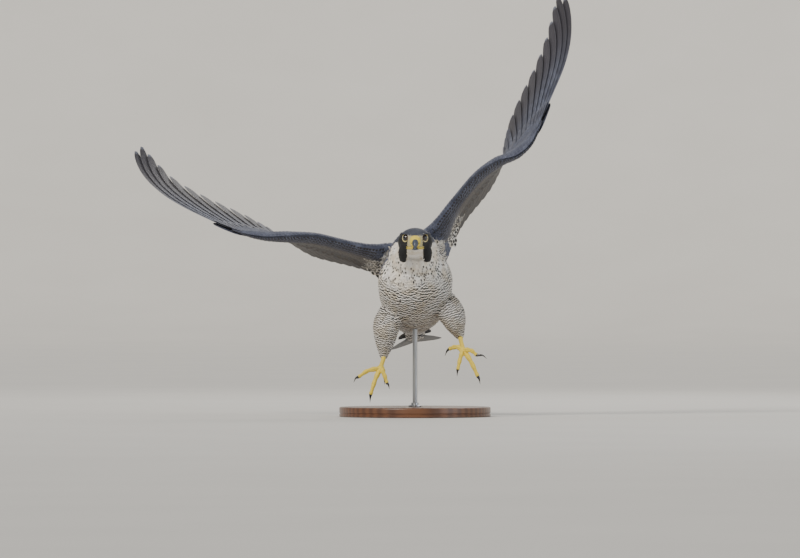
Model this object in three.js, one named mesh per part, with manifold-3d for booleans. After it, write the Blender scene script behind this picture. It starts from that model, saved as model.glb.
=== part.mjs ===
// A peregrine falcon in flight, life size, as a museum's still model on a plain display stand.
// Millimetres, +Z up. The bird faces -Y, its left side is +X, and the stand's underside is at Z 0.
import * as THREE from 'three';
import { mergeVertices } from 'three/addons/utils/BufferGeometryUtils.js';
import Module from 'manifold-3d';

const wasm = await Module();
wasm.setup();

const GAP = 0.35; // left between pieces that meet
const degrees = THREE.MathUtils.degToRad;
const V = (x, y, z) => new THREE.Vector3(x, y, z);
const SIDES = { right: -1, left: 1 };

// Stand
const BASE_RADIUS = 125;
const BASE_HEIGHT = 16;
const BASE_EDGE = 2.5;
const ROD_RADIUS = 4;
const ROD_PLACE = V(0, 6, 0);

// Body: its own axes run to the bird's left, forward along the spine and up through the back
const BODY_CENTRE = V(0, 0, 202);
const BODY_PITCH = degrees(40);
const BODY_ROLL = degrees(12);
const spineForward = V(0, -Math.cos(BODY_PITCH), Math.sin(BODY_PITCH));
const spineUp = V(0, Math.sin(BODY_PITCH), Math.cos(BODY_PITCH));
const bodyLeft = V(Math.cos(BODY_ROLL), 0, 0).addScaledVector(spineUp, Math.sin(BODY_ROLL));
const bodyUp = spineUp.clone().multiplyScalar(Math.cos(BODY_ROLL)).add(V(-Math.sin(BODY_ROLL), 0, 0));

// Head: level, looking straight ahead
const HEAD_CENTRE = V(0, -112, 294); // between the eyes' corners, at the height of the eyes
const EYE_RADIUS = 7.6;
const EYE_PLACE = V(12.6, 13.5, 0); // sideways, forward and up from the head's centre
const EYE_TURN = degrees(42);
const LID_RADIUS = 6.2;

// Wings: distances run outward along the wing from the shoulder
const WRIST = 152;
const HAND_END = 222;
const WING_START = -60; // inside the body
const WING_REACH = 560;

const PRIMARIES = 10;
const SECONDARIES = 13;
const VANE_THICKNESS = 0.66;
const VANE_STEPS = [0, 0.14, 0.45, 0.8, 0.93, 1]; // shares of a feather's length
const LONG_VANE_STEPS = [0, 0.15, 0.35, 0.54, 0.7, 0.82, 0.93, 1];
const SHORT_VANE_STEPS = [0, 0.5, 0.88, 1];

// Tail
const RECTRICES = 6; // each side
const TIER = 0.95; // from one tail feather to the next below
const TAIL_ROOT = V(0, 74, 136);
const TAIL_LENGTH = 168;
const TAIL_DROP = degrees(5);
const TAIL_ROLL = degrees(13);

// Legs: knee, ankle and the root of the toes of each leg
const LEGS = {
  right: { hip: V(-34, -6, 176), knee: V(-47, -22, 150), ankle: V(-52, -10, 97), foot: V(-57, -50, 80) },
  left: { hip: V(40, -6, 196), knee: V(60, -22, 170), ankle: V(75, -10, 130), foot: V(79, -50, 110) },
};

// A smooth function through pairs of place and value, flat beyond both ends.
function through(...pairs) {
  const slopes = pairs.slice(1).map(([x, y], i) => (y - pairs[i][1]) / (x - pairs[i][0]));
  const tangents = pairs.map((pair, i) => {
    const before = slopes[Math.max(i - 1, 0)];
    const after = slopes[Math.min(i, slopes.length - 1)];
    return before * after <= 0 ? 0 : (2 * before * after) / (before + after);
  });
  const last = pairs.length - 1;
  return (x) => {
    if (x <= pairs[0][0]) return pairs[0][1];
    if (x >= pairs[last][0]) return pairs[last][1];
    const i = pairs.findIndex(([edge]) => edge > x) - 1;
    const span = pairs[i + 1][0] - pairs[i][0];
    const t = (x - pairs[i][0]) / span;
    const rise = t * t * (3 - 2 * t);
    return (
      pairs[i][1] * (1 - rise) +
      pairs[i + 1][1] * rise +
      span * (tangents[i] * t * (1 - t) * (1 - t) - tangents[i + 1] * t * t * (1 - t))
    );
  };
}

const numbers = (count) => Array.from({ length: count }, (_, i) => i);
const spread = (from, to, count) => numbers(count).map((i) => from + ((to - from) * i) / (count - 1));

// The closed surface over rings of points, with faces turned outward. Both halves of a ring split their
// quads alike, so that the two faces of a thin curved blade never cross.
function skin(rings) {
  const count = rings[0].length;
  const points = rings.flat();
  const faces = [];
  for (const k of numbers(rings.length - 1)) {
    for (const a of numbers(count)) {
      const b = (a + 1) % count;
      const [p, q, r, s] = [k * count + a, k * count + b, (k + 1) * count + b, (k + 1) * count + a];
      if (a < count / 2) faces.push(p, q, r, p, r, s);
      else faces.push(q, s, p, q, r, s);
    }
  }
  const end = (rings.length - 1) * count;
  for (const a of numbers(count - 2)) {
    faces.push(0, a + 2, a + 1, end, end + a + 1, end + a + 2);
  }
  let volume = 0;
  for (let i = 0; i < faces.length; i += 3) {
    const [a, b, c] = [points[faces[i]], points[faces[i + 1]], points[faces[i + 2]]];
    volume += a.dot(b.clone().cross(c));
  }
  const geometry = new THREE.BufferGeometry().setFromPoints(points);
  geometry.setIndex(volume < 0 ? faces.reverse() : faces);
  return geometry;
}

function solid(geometry) {
  const bare = geometry.clone();
  bare.deleteAttribute('normal');
  bare.deleteAttribute('uv');
  const merged = mergeVertices(bare, 1e-4);
  const mesh = { numProp: 3, vertProperties: merged.attributes.position.array };
  return new wasm.Manifold(new wasm.Mesh({ ...mesh, triVerts: new Uint32Array(merged.index.array) }));
}

// The largest closed surface of a solid: this fills what a join sealed and drops loose scraps.
function largest(body) {
  return body.decompose().reduce((best, next) => (next.volume() > best.volume() ? next : best));
}

const joined = (...solids) => solids.reduce((all, next) => all.add(next));
const cut = (body, ...tools) => largest(tools.reduce((left, tool) => left.subtract(tool), body));

function geometryOf(body) {
  const { vertProperties, triVerts } = body.getMesh();
  const geometry = new THREE.BufferGeometry();
  geometry.setAttribute('position', new THREE.BufferAttribute(new Float32Array(vertProperties), 3));
  geometry.setIndex(new THREE.BufferAttribute(new Uint32Array(triVerts), 1));
  geometry.computeVertexNormals();
  return geometry;
}

// One ring of an ellipse-like section. Above 1, fullness squares it off.
function oval(centre, sideways, upward, sides, fullness = 1) {
  return numbers(sides).map((i) => {
    const angle = (2 * Math.PI * (i + 0.5)) / sides;
    const rounded = (value) => Math.sign(value) * Math.abs(value) ** (1 / fullness);
    return centre
      .clone()
      .addScaledVector(sideways, rounded(Math.cos(angle)))
      .addScaledVector(upward, rounded(Math.sin(angle)));
  });
}

// A rounded limb along a smooth path, with its radius at each share of the way.
function limb(path, radius, { sides = 10, steps = 10, grow = 0, flat = 1 } = {}) {
  const curve = new THREE.CatmullRomCurve3(path);
  const rings = spread(0, 1, steps).map((t) => {
    const along = curve.getTangent(t);
    const sideways = Math.abs(along.x) > 0.9 ? V(0, 0, 1).cross(along) : V(1, 0, 0);
    const across = sideways.addScaledVector(along, -sideways.dot(along)).normalize();
    const size = radius(t) + grow;
    const up = along.clone().cross(across).multiplyScalar(size * flat);
    return oval(curve.getPoint(t), across.multiplyScalar(size), up, sides);
  });
  return solid(skin(rings));
}

// Torso

const TORSO_TAIL_END = -114;
const TORSO_NECK_END = 92;
const torsoWidth = through(
  ...[[TORSO_TAIL_END, 8], [-100, 18], [-80, 30], [-55, 44], [-25, 54]],
  ...[[5, 60], [35, 62], [60, 56], [80, 43], [TORSO_NECK_END, 24]],
);
const torsoDepth = through(
  ...[[TORSO_TAIL_END, 7], [-100, 15], [-80, 26], [-55, 38], [-25, 47]],
  ...[[5, 52], [35, 52], [60, 47], [80, 37], [TORSO_NECK_END, 21]],
);
const torsoLift = through([TORSO_TAIL_END, 13], [-80, 7], [-25, 0], [35, -2], [TORSO_NECK_END, 6]);

function bodyPoint(sideways, along, upward) {
  return BODY_CENTRE.clone()
    .addScaledVector(bodyLeft, sideways)
    .addScaledVector(spineForward, along)
    .addScaledVector(bodyUp, upward);
}

function torsoSolid(grow = 0) {
  const rings = spread(TORSO_TAIL_END - grow, TORSO_NECK_END + grow, 16).map((along) => {
    const sideways = bodyLeft.clone().multiplyScalar(torsoWidth(along) + grow);
    const upward = bodyUp.clone().multiplyScalar(torsoDepth(along) + grow);
    return oval(bodyPoint(0, along, torsoLift(along)), sideways, upward, 24, 1.08);
  });
  return solid(skin(rings));
}

// Head

const HEAD_BACK = -38;
const HEAD_FRONT = 33;
const headWidth = through(
  ...[[HEAD_BACK, 8], [-34, 17], [-25, 25], [-12, 28.5], [-3, 28.5]],
  ...[[6, 25.5], [13, 21], [20, 16], [26, 12], [HEAD_FRONT, 8.5]],
);
const headTop = through(
  ...[[HEAD_BACK, 6], [-34, 11], [-25, 15.5], [-12, 17], [0, 17]],
  ...[[10, 16], [18, 13.5], [24, 10], [29, 6.5], [HEAD_FRONT, 3.5]],
);
const headBottom = through(
  ...[[HEAD_BACK, -10], [-34, -20], [-25, -28], [-12, -31], [0, -31]],
  ...[[10, -29], [18, -27], [24, -23.5], [29, -20.5], [HEAD_FRONT, -17]],
);

function headPoint(sideways, forward, upward) {
  return HEAD_CENTRE.clone().add(V(sideways, -forward, upward));
}

function headSolid(grow = 0) {
  const rings = spread(HEAD_BACK, HEAD_FRONT, 16).map((forward) => {
    const middle = (headTop(forward) + headBottom(forward)) / 2;
    const height = (headTop(forward) - headBottom(forward)) / 2 + grow;
    const reach = forward + grow * Math.sign(forward);
    return oval(headPoint(0, reach, middle), V(headWidth(forward) + grow, 0, 0), V(0, 0, height), 28);
  });
  return solid(skin(rings));
}

function eyeCentre(side) {
  return headPoint(SIDES[side] * EYE_PLACE.x, EYE_PLACE.y, EYE_PLACE.z);
}

function ball(centre, radius) {
  return solid(new THREE.SphereGeometry(radius, 16, 8).translate(...centre));
}

function eyelid(side) {
  const looks = V(SIDES[side] * Math.sin(EYE_TURN), -Math.cos(EYE_TURN), 0);
  const ring = new THREE.TorusGeometry(LID_RADIUS, 1.5, 5, 18);
  ring.lookAt(looks);
  const centre = eyeCentre(side).addScaledVector(looks, 2.6);
  return solid(ring.translate(...centre));
}

function brow(side) {
  const x = SIDES[side];
  const front = [headPoint(x * 11, 25, 4.5), headPoint(x * 17, 20, 6.5)];
  const rear = [headPoint(x * 22, 12, 7), headPoint(x * 25, 2, 5)];
  const radius = through([0, 1.2], [0.35, 2.6], [0.7, 2.6], [1, 1.2]);
  return limb([...front, ...rear], radius, { sides: 7, steps: 6 });
}

// The full feathers of the cheek, which carry the dark stripe from the eye to below the chin.
function cheek(side, grow = 0) {
  const x = SIDES[side];
  const path = [headPoint(x * 18, 9, -10), headPoint(x * 19, 4, -24), headPoint(x * 18.5, -2, -37)];
  return limb(path, through([0, 5], [0.5, 8.4], [1, 6.2]), { sides: 9, steps: 4, grow });
}

function head() {
  const features = Object.keys(SIDES).flatMap((side) => [eyelid(side), brow(side), cheek(side)]);
  const eyes = Object.keys(SIDES).map((side) => ball(eyeCentre(side), EYE_RADIUS + GAP));
  return cut(joined(headSolid(), ...features), ...eyes);
}

// Bill: each section by its culmen, its cutting edge and its half width, as forward and up from the head
const BILL = [
  { top: [27, 3.5], edge: [25, -15], half: 8.8 },
  { top: [32, 3.4], edge: [30, -15.2], half: 8.6 },
  { top: [36, 1.6], edge: [33.5, -15.4], half: 7.8 },
  { top: [39.5, -2.2], edge: [37, -15.4], half: 5.2 },
  { top: [42.8, -6], edge: [39.6, -16.4], half: 3.4 },
  { top: [45, -10.5], edge: [41.6, -16.6], half: 2.5 },
  { top: [46, -15], edge: [43.2, -18], half: 1.7 },
  { top: [45.6, -20], edge: [44.8, -20.2], half: 0.5 },
];
const CERE_SECTIONS = 4;

function billSection({ top, edge, half }, forward = 0, grow = 0) {
  const high = headPoint(0, top[0] + forward, top[1]);
  const low = headPoint(0, edge[0] + forward, edge[1]);
  const upward = high.clone().sub(low).multiplyScalar(0.5);
  upward.setLength(upward.length() + grow);
  return oval(high.add(low).multiplyScalar(0.5), V(half + grow, 0, 0), upward, 16, 1.15);
}

function nostril(side) {
  const x = SIDES[side];
  const path = [headPoint(x * 3, 35.4, -9.4), headPoint(x * 10, 38.6, -8.6)];
  return limb(path, () => 1.3, { sides: 8, steps: 2 });
}

function cere() {
  const rings = BILL.slice(0, CERE_SECTIONS).map((section) => billSection(section));
  return cut(solid(skin(rings)), headSolid(GAP), nostril('right'), nostril('left'));
}

function billUpper() {
  const rings = BILL.slice(CERE_SECTIONS - 1).map((section) => billSection(section, GAP));
  return solid(skin(rings));
}

function billLower() {
  const rings = [
    [24, -17.6, 7.2],
    [30, -18, 6.4],
    [36, -18.3, 4.8],
    [39, -18.5, 3.2],
    [41, -18.7, 1.4],
  ].map(([forward, upward, half]) => {
    return oval(headPoint(0, forward, upward), V(half, 0, 0), V(0, 0, 0.6 + half * 0.3), 12);
  });
  const uppers = solid(skin(BILL.map((section) => billSection(section, 0, GAP))));
  return cut(solid(skin(rings)), uppers, headSolid(GAP));
}

// Neck

function neckSolid(grow = 0) {
  const radius = through([0, 34], [0.35, 44], [0.7, 31], [1, 20]);
  const path = [bodyPoint(0, 62, 8), bodyPoint(0, 82, 8), headPoint(0, -22, -10), headPoint(0, -6, -8)];
  return limb(path, radius, { sides: 18, steps: 7, flat: 0.88, grow });
}

// Wings: a flat plan, outward and back from the shoulder, is bent and twisted into its place

const wingLead = through(
  ...[[WING_START, 6], [0, -4], [80, -13], [150, -17], [200, -8]],
  ...[[236, 5], [300, 22], [380, 45], [452, 70]],
);
const wingTrail = through(
  ...[[WING_START, 112], [0, 118], [60, 120], [150, 128], [208, 133], [260, 131]],
  ...[[320, 126], [380, 115], [412, 106], [440, 94], [456, 80]],
);
const wingRear = through(
  ...[[WING_START, 96], [0, 88], [40, 64], [80, 54], [WRIST, 48], [200, 34], [HAND_END, 26], [236, 16]],
);
const wingDepth = through([WING_START, 36], [0, 30], [30, 20], [80, 17], [WRIST, 18], [205, 12], [236, 2.4]);
const wingSweep = through([WING_START, -40], [0, -52], [WRIST, -90], [HAND_END, -90], [458, -55]);

const WINGS = {
  right: {
    shoulder: V(-61, 0, 255),
    rise: through(
      ...[[WING_START, 15], [130, 14.4], [193, 18], [268, 23.4], [342, 29], [399, 46], [443, 62], [480, 68]],
    ),
    twist: through(
      ...[[-45, 46], [-15, 34], [10, 21], [50, 16], [100, 14], [WRIST, 3]],
      ...[[190, -7], [230, -13], [310, -18], [375, -24], [420, -33], [458, -38]],
    ),
  },
  left: {
    shoulder: V(48, 0, 298),
    rise: through(
      ...[[WING_START, 40], [0, 62], [62, 52], [111, 49], [144, 46], [175, 53]],
      ...[[220, 66], [309, 65], [357, 72], [410, 85], [450, 92]],
    ),
    twist: through(
      ...[[-45, 46], [-15, 34], [10, 21], [50, 16], [100, 14], [150, 4]],
      ...[[178, -11], [212, -20], [300, -25], [400, -34], [458, -38]],
    ),
  },
};

// Share of a feather's web at each share of its length
const webShape = through([0, 0.15], [0.14, 0.8], [0.45, 1], [0.8, 0.98], [0.93, 0.86], [1, 0.42]);

// The function that carries a point of the flat wing, outward, back and above, to its place.
function wingPlace(side) {
  const { shoulder, rise, twist } = WINGS[side];
  const line = [[0, 0]];
  for (const step of numbers(WING_REACH)) {
    const angle = degrees(rise(WING_START + step + 0.5));
    const [x, z] = line[step];
    line.push([x + SIDES[side] * Math.cos(angle), z + Math.sin(angle)]);
  }
  const spineAt = (outward) => {
    const step = Math.min(Math.max(outward - WING_START, 0), line.length - 2);
    const whole = Math.floor(step);
    const [from, to] = [line[whole], line[whole + 1]];
    return V(from[0] + (to[0] - from[0]) * (step - whole), 0, from[1] + (to[1] - from[1]) * (step - whole));
  };
  const origin = shoulder.clone().sub(spineAt(0));
  return (outward, back, above) => {
    const angle = degrees(rise(outward));
    const turn = degrees(twist(outward));
    const middle = (wingLead(outward) + wingTrail(outward)) / 2;
    const away = V(-SIDES[side] * Math.sin(angle), 0, Math.cos(angle));
    const lifted = above * Math.cos(turn) - (back - middle) * Math.sin(turn);
    const rearward = wingSweep(outward) + middle + (back - middle) * Math.cos(turn) + above * Math.sin(turn);
    return origin.clone().add(spineAt(outward)).addScaledVector(away, lifted).add(V(0, rearward, 0));
  };
}

// A feather as a thin closed blade over a flat plan: outward and back from its root along a bearing, with a
// web on either side of its shaft, tilted so that each feather lies over the next one outward.
function vane(place, { root, bearing, length, lead, trail, lift, tip = lift, tilt, steps = VANE_STEPS }) {
  const turn = degrees(bearing);
  const edge = (t, web, sign, above) => {
    const across = web * webShape(t);
    const outward = root[0] + Math.cos(turn) * length * t + sign * Math.sin(turn) * across;
    const back = root[1] + Math.sin(turn) * length * t - sign * Math.cos(turn) * across;
    const thickness = VANE_THICKNESS * (1 - 0.25 * t);
    return place(outward, back, lift + (tip - lift) * t + sign * tilt * across + (above * thickness) / 2);
  };
  const rings = steps.map((t) => {
    const upper = [edge(t, lead, 1, 1), edge(t, trail, -1, 1)];
    return [...upper, edge(t, trail, -1, -1), edge(t, lead, 1, -1)];
  });
  return solid(skin(rings));
}

const FLESH_START = -38; // short of the other wing, inside the body

// The arm and hand with their small feathers, as one streamlined form.
function wingFlesh(place) {
  const shares = [0, 0.07, 0.3, 0.62, 1];
  const profile = [0.16, 0.6, 1, 0.72, 0.24];
  const rings = spread(FLESH_START, HAND_END + 14, 17).map((outward) => {
    const [lead, rear, depth] = [wingLead(outward), wingRear(outward), wingDepth(outward)];
    const side = (sign) => shares.map((share, i) => {
      return place(outward, lead + (rear - lead) * share, (sign * profile[i] * depth) / 2);
    });
    return [...side(1), ...side(-1).reverse()];
  });
  return solid(skin(rings));
}

const primaryBearing = through([0, 59], [3, 41], [6, 26], [9, 15.3]);
const primaryLength = through([0, 148], [3, 184], [6, 234], [7, 248], [8, 253], [9, 238]);
const secondaryBearing = through([0, 63], [6, 79], [12, 95]);

function flightFeathers() {
  const primaries = numbers(PRIMARIES).map((i) => ({
    root: [WRIST + 6 + 7 * i, 8],
    bearing: primaryBearing(i),
    length: primaryLength(i),
    lead: 6.5,
    trail: 27 - 0.8 * i,
    lift: 0,
    tilt: 0.14,
    steps: LONG_VANE_STEPS,
  }));
  const secondaries = numbers(SECONDARIES).map((i) => ({
    root: [WRIST - 4 - 10.5 * i, 14],
    bearing: secondaryBearing(i),
    length: 130 - 2 * i - 0.09 * i * i,
    lead: 10,
    trail: 20,
    lift: 0,
    tilt: 0.1,
  }));
  return [...primaries, ...secondaries];
}

function coverts() {
  const overPrimaries = numbers(PRIMARIES - 2).map((i) => ({
    root: [WRIST + 8 + 8.2 * i, 4],
    bearing: primaryBearing(1.1 * i + 0.5) + 2,
    length: 80 - 3 * i,
    lead: 5,
    trail: 9,
    lift: 2.6,
    tilt: 0.1,
    steps: SHORT_VANE_STEPS,
  }));
  const overSecondaries = numbers(SECONDARIES - 2).map((i) => ({
    root: [WRIST - 6 - 12.6 * i, 24],
    bearing: secondaryBearing(1.2 * i) + 2,
    length: 58,
    lead: 9,
    trail: 10,
    lift: 3.2,
    tip: 2.7,
    tilt: 0.1,
    steps: SHORT_VANE_STEPS,
  }));
  const thumb = numbers(2).map((i) => ({
    root: [WRIST - 6 + 5 * i, -9 + 3 * i],
    bearing: 22 - 6 * i,
    length: 46 + 10 * i,
    lead: 4,
    trail: 7,
    lift: 4.2 - 1.2 * i,
    tilt: 0.1,
    steps: SHORT_VANE_STEPS,
  }));
  return [...overPrimaries, ...overSecondaries, ...thumb];
}

function wing(side) {
  const place = wingPlace(side);
  const feathers = [...flightFeathers(), ...coverts()].map((feather) => vane(place, feather));
  return cut(joined(wingFlesh(place), ...feathers), torsoSolid(GAP), neckSolid(GAP));
}

// The function that carries a point of the flat tail, sideways, back and above, to its place.
function tailPlace(sideways, back, above) {
  const across = V(Math.cos(TAIL_ROLL), 0, Math.sin(TAIL_ROLL));
  const along = V(0, Math.cos(TAIL_DROP), -Math.sin(TAIL_DROP));
  const up = across.clone().cross(along);
  return TAIL_ROOT.clone()
    .addScaledVector(across, sideways)
    .addScaledVector(along, back)
    .addScaledVector(up, above);
}

function tail() {
  // The rump runs on from the torso into the tail: each section's centre, half width and half depth
  const rump = [
    [bodyPoint(0, -82, 8), 25, 21],
    [bodyPoint(0, -98, 9), 20, 15],
    [tailPlace(0, 14, -1), 17, 10],
    [tailPlace(0, 32, -2), 17, 6.5],
    [tailPlace(0, 52, -2.5), 15, 3.4],
  ];
  const rings = rump.map(([centre, half, depth], i) => {
    const across = bodyLeft.clone().multiplyScalar(half);
    const up = (i < 2 ? bodyUp : V(-Math.sin(TAIL_ROLL), 0, Math.cos(TAIL_ROLL))).clone();
    return oval(centre, across, up.multiplyScalar(depth), 14);
  });
  const feathers = Object.values(SIDES).flatMap((sign) => {
    const place = (sideways, back, above) => tailPlace(sign * sideways, back, above);
    const long = numbers(RECTRICES).map((i) => ({
      root: [2.2 + 1.6 * i, 4],
      bearing: 89 - 1.9 * i,
      length: TAIL_LENGTH - 4 - 0.5 * i * i,
      lead: 11,
      trail: i ? 10 : 9,
      lift: i ? -TIER * (i + 1) : TIER * 0.5 * (sign - 1),
      tilt: 0,
    }));
    const short = numbers(4).map((i) => ({
      root: [2 + 3.2 * i, 2],
      bearing: 88 - 3 * i,
      length: 62 - 5 * i,
      lead: 8,
      trail: 4,
      lift: 4.4 - i,
      tip: 2.4 - i,
      tilt: 0,
      steps: SHORT_VANE_STEPS,
    }));
    return [...long, ...short].map((feather) => vane(place, feather));
  });
  return cut(joined(solid(skin(rings)), ...feathers), torsoSolid(GAP));
}

// Legs and feet

function thighSolid(side, grow = 0) {
  const { hip, knee, ankle } = LEGS[side];
  const radius = through([0, 22], [0.3, 23], [0.55, 19], [0.8, 12], [1, 6.5]);
  const low = ankle.clone().lerp(knee, 0.45);
  return limb([hip, knee, low, ankle], radius, { sides: 14, steps: 9, grow });
}

function tarsusSolid(side, grow = 0) {
  const { ankle, foot } = LEGS[side];
  const start = ankle.clone().add(V(0, 2, 4));
  const bend = ankle.clone().add(V(0, -5, -1));
  const radius = through([0, 4.2], [0.3, 4.4], [0.7, 3.6], [1, 4.6]);
  return limb([start, bend, foot], radius, { steps: 6, grow });
}

// Toes: how far sideways, forward and up each toe's tip lies from the root of the toes, and its claw's tip
const TOES = {
  right: {
    outer: { tip: V(-36, -10, -14), claw: V(-44, -8, -23), size: 3.9 },
    middle: { tip: V(-16, -12, -43), claw: V(-17, -6, -56), size: 4.4 },
    inner: { tip: V(11, -10, -24), claw: V(15, -4, -34), size: 4.1 },
    hind: { tip: V(6, 22, -12), claw: V(7, 27, -27), size: 4.1 },
  },
  left: {
    outer: { tip: V(22, -14, -8), claw: V(39, -14, -14), size: 3.9 },
    middle: { tip: V(24, -12, -43), claw: V(28, -4, -56), size: 4.4 },
    inner: { tip: V(-9, -12, -32), claw: V(-10, -4, -43), size: 4.1 },
    hind: { tip: V(-22, 16, 2), claw: V(-30, 22, -10), size: 4.1 },
  },
};

function toeSolid(side, name, grow = 0) {
  const { tip, size } = TOES[side][name];
  const root = LEGS[side].foot;
  const end = root.clone().add(tip);
  const bend = root.clone().lerp(end, 0.5).add(V(0, -5, 4));
  const radius = (t) => size * (1.06 - 0.34 * t + 0.1 * Math.cos(t * 6 * Math.PI)) + (t > 0.99 ? -0.6 : 0);
  return limb([root, bend, end], radius, { sides: 7, steps: 10, grow });
}

function footSolid(side, grow = 0) {
  const toes = Object.keys(TOES[side]).map((name) => toeSolid(side, name, grow));
  const { foot } = LEGS[side];
  const pad = solid(new THREE.SphereGeometry(7.4 + grow, 10, 7).scale(1, 1, 0.9).translate(...foot));
  return joined(pad, ...toes);
}

function clawSolid(side, name) {
  const { tip, claw, size } = TOES[side][name];
  const root = LEGS[side].foot;
  const start = root.clone().add(tip);
  const end = root.clone().add(claw);
  const back = start.clone().lerp(root, 0.1);
  const bow = start.clone().lerp(end, 0.5).add(V(0, -3, 3));
  const width = size * 0.62;
  const radius = through([0, width * 0.7], [0.3, width], [1, 0.25]);
  return limb([back, start, bow, end], radius, { sides: 6, steps: 6 });
}

// Stand

function standBase() {
  const profile = [
    [0, 0],
    [BASE_RADIUS, 0],
    [BASE_RADIUS, BASE_HEIGHT - BASE_EDGE],
    [BASE_RADIUS - BASE_EDGE, BASE_HEIGHT],
    [0, BASE_HEIGHT],
  ].map(([x, y]) => new THREE.Vector2(x, y));
  return solid(new THREE.LatheGeometry(profile, 44).rotateX(Math.PI / 2));
}

function standRod() {
  const height = BODY_CENTRE.z - BASE_HEIGHT;
  const rod = new THREE.CylinderGeometry(ROD_RADIUS, ROD_RADIUS, height, 20).rotateX(Math.PI / 2);
  rod.translate(ROD_PLACE.x, ROD_PLACE.y, BASE_HEIGHT + GAP + height / 2);
  return cut(solid(rod), torsoSolid(GAP));
}

// The whole

function finish(color, roughness, metalness = 0) {
  return new THREE.MeshStandardMaterial({ color, roughness, metalness });
}

const SLATE = finish('#4f586b', 0.75);
const BREAST = finish('#e3dccd', 0.8);
const BARRED = finish('#b9b3a8', 0.8);
const YELLOW = finish('#e3c332', 0.5);
const HORN = finish('#3a4150', 0.3);
const CLAW = finish('#1c1c1f', 0.3);
const EYE = finish('#0d0a08', 0.05);
const WOOD = finish('#4a3021', 0.5);
const STEEL = finish('#b8babd', 0.3, 1);

const falcon = new THREE.Group();

function add(name, body, material) {
  const mesh = new THREE.Mesh(geometryOf(body), material);
  mesh.name = name;
  falcon.add(mesh);
}

const cheeks = Object.keys(SIDES).map((side) => cheek(side, GAP));
add('torso', torsoSolid(), BREAST);
add('neck', cut(neckSolid(), torsoSolid(GAP), headSolid(GAP), ...cheeks), SLATE);
add('head', head(), SLATE);
add('cere', cere(), YELLOW);
add('bill_upper', billUpper(), HORN);
add('bill_lower', billLower(), HORN);
add('tail', tail(), SLATE);
add('stand_base', standBase(), WOOD);
add('stand_rod', standRod(), STEEL);
for (const side of Object.keys(SIDES)) {
  add(`eye_${side}`, ball(eyeCentre(side), EYE_RADIUS), EYE);
  add(`wing_${side}`, wing(side), SLATE);
  add(`thigh_${side}`, cut(thighSolid(side), torsoSolid(GAP), tarsusSolid(side, GAP)), BARRED);
  add(`tarsus_${side}`, cut(tarsusSolid(side), footSolid(side, GAP)), YELLOW);
  add(`foot_${side}`, footSolid(side), YELLOW);
  for (const name of Object.keys(TOES[side])) {
    add(`claw_${name}_${side}`, cut(clawSolid(side, name), toeSolid(side, name, GAP)), CLAW);
  }
}

export default falcon;
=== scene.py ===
import itertools
import math

import bmesh
import bpy
import numpy as np
from bpy.props import FloatProperty, FloatVectorProperty, IntProperty, PointerProperty
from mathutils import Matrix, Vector
from mathutils.bvhtree import BVHTree


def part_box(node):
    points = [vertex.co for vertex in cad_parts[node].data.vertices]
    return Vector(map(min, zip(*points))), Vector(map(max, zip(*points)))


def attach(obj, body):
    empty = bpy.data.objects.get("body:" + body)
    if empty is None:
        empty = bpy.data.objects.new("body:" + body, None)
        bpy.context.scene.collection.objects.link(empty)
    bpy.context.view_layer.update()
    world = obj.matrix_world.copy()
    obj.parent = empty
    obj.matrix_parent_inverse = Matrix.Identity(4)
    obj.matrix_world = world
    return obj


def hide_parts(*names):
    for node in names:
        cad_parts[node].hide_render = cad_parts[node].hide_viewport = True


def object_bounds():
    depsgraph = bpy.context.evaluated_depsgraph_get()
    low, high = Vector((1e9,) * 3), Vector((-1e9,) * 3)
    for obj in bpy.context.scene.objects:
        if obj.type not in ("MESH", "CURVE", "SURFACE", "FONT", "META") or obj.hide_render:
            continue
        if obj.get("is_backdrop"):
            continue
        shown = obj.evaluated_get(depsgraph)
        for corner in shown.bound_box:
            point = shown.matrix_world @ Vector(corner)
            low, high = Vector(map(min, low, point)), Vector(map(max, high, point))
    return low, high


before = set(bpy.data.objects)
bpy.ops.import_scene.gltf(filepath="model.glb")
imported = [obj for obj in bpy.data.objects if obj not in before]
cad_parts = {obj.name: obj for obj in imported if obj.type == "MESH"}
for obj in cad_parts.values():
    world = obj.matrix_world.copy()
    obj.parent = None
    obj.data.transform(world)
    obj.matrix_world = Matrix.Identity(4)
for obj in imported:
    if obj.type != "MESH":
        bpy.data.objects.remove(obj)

bl_info = {
    "name": "Display falcon",
    "version": (1, 0, 0),
    "blender": (4, 5, 0),
    "location": "View3D > Sidebar > Falcon",
    "description": "Dresses the packed falcon with skin, plumage, bare parts and a display stand",
    "category": "Object",
}

# Lengths are millimetres in the same axes as the frame, and turn to metres where a mesh is made.
MM = 0.001
BODY = "root"
SIDES = {"right": -1, "left": 1}


def unit(vectors):
    """The vectors at length 1."""
    return vectors / np.maximum(np.linalg.norm(vectors, axis=-1, keepdims=True), 1e-9)


def along_axis(vectors, axis):
    """Each vector's share along an axis."""
    return vectors @ np.asarray(axis, float)


def step_between(values, low, high):
    """0 below low, 1 above high, smooth between them. Low may be the larger one."""
    share = np.clip((values - low) / (high - low), 0, 1)
    return share * share * (3 - 2 * share)


def through(*pairs):
    """A smooth function through pairs of place and value, flat beyond both ends."""
    places, values = np.array(pairs, float).T
    slopes = np.diff(values) / np.diff(places)
    before = np.concatenate([slopes[:1], slopes])
    after = np.concatenate([slopes, slopes[-1:]])
    turning = before * after <= 0
    tangents = np.where(turning, 0, 2 * before * after / np.where(turning, 1, before + after))

    def value(place):
        place = np.clip(place, places[0], places[-1])
        i = np.clip(np.searchsorted(places, place, side="right") - 1, 0, len(places) - 2)
        span = places[i + 1] - places[i]
        t = (place - places[i]) / span
        rise = t * t * (3 - 2 * t)
        bend = tangents[i] * t * (1 - t) ** 2 - tangents[i + 1] * t * t * (1 - t)
        return values[i] * (1 - rise) + values[i + 1] * rise + span * bend

    return value


# Body: its own axes run to the bird's left, forward along the spine and up through the back

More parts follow.
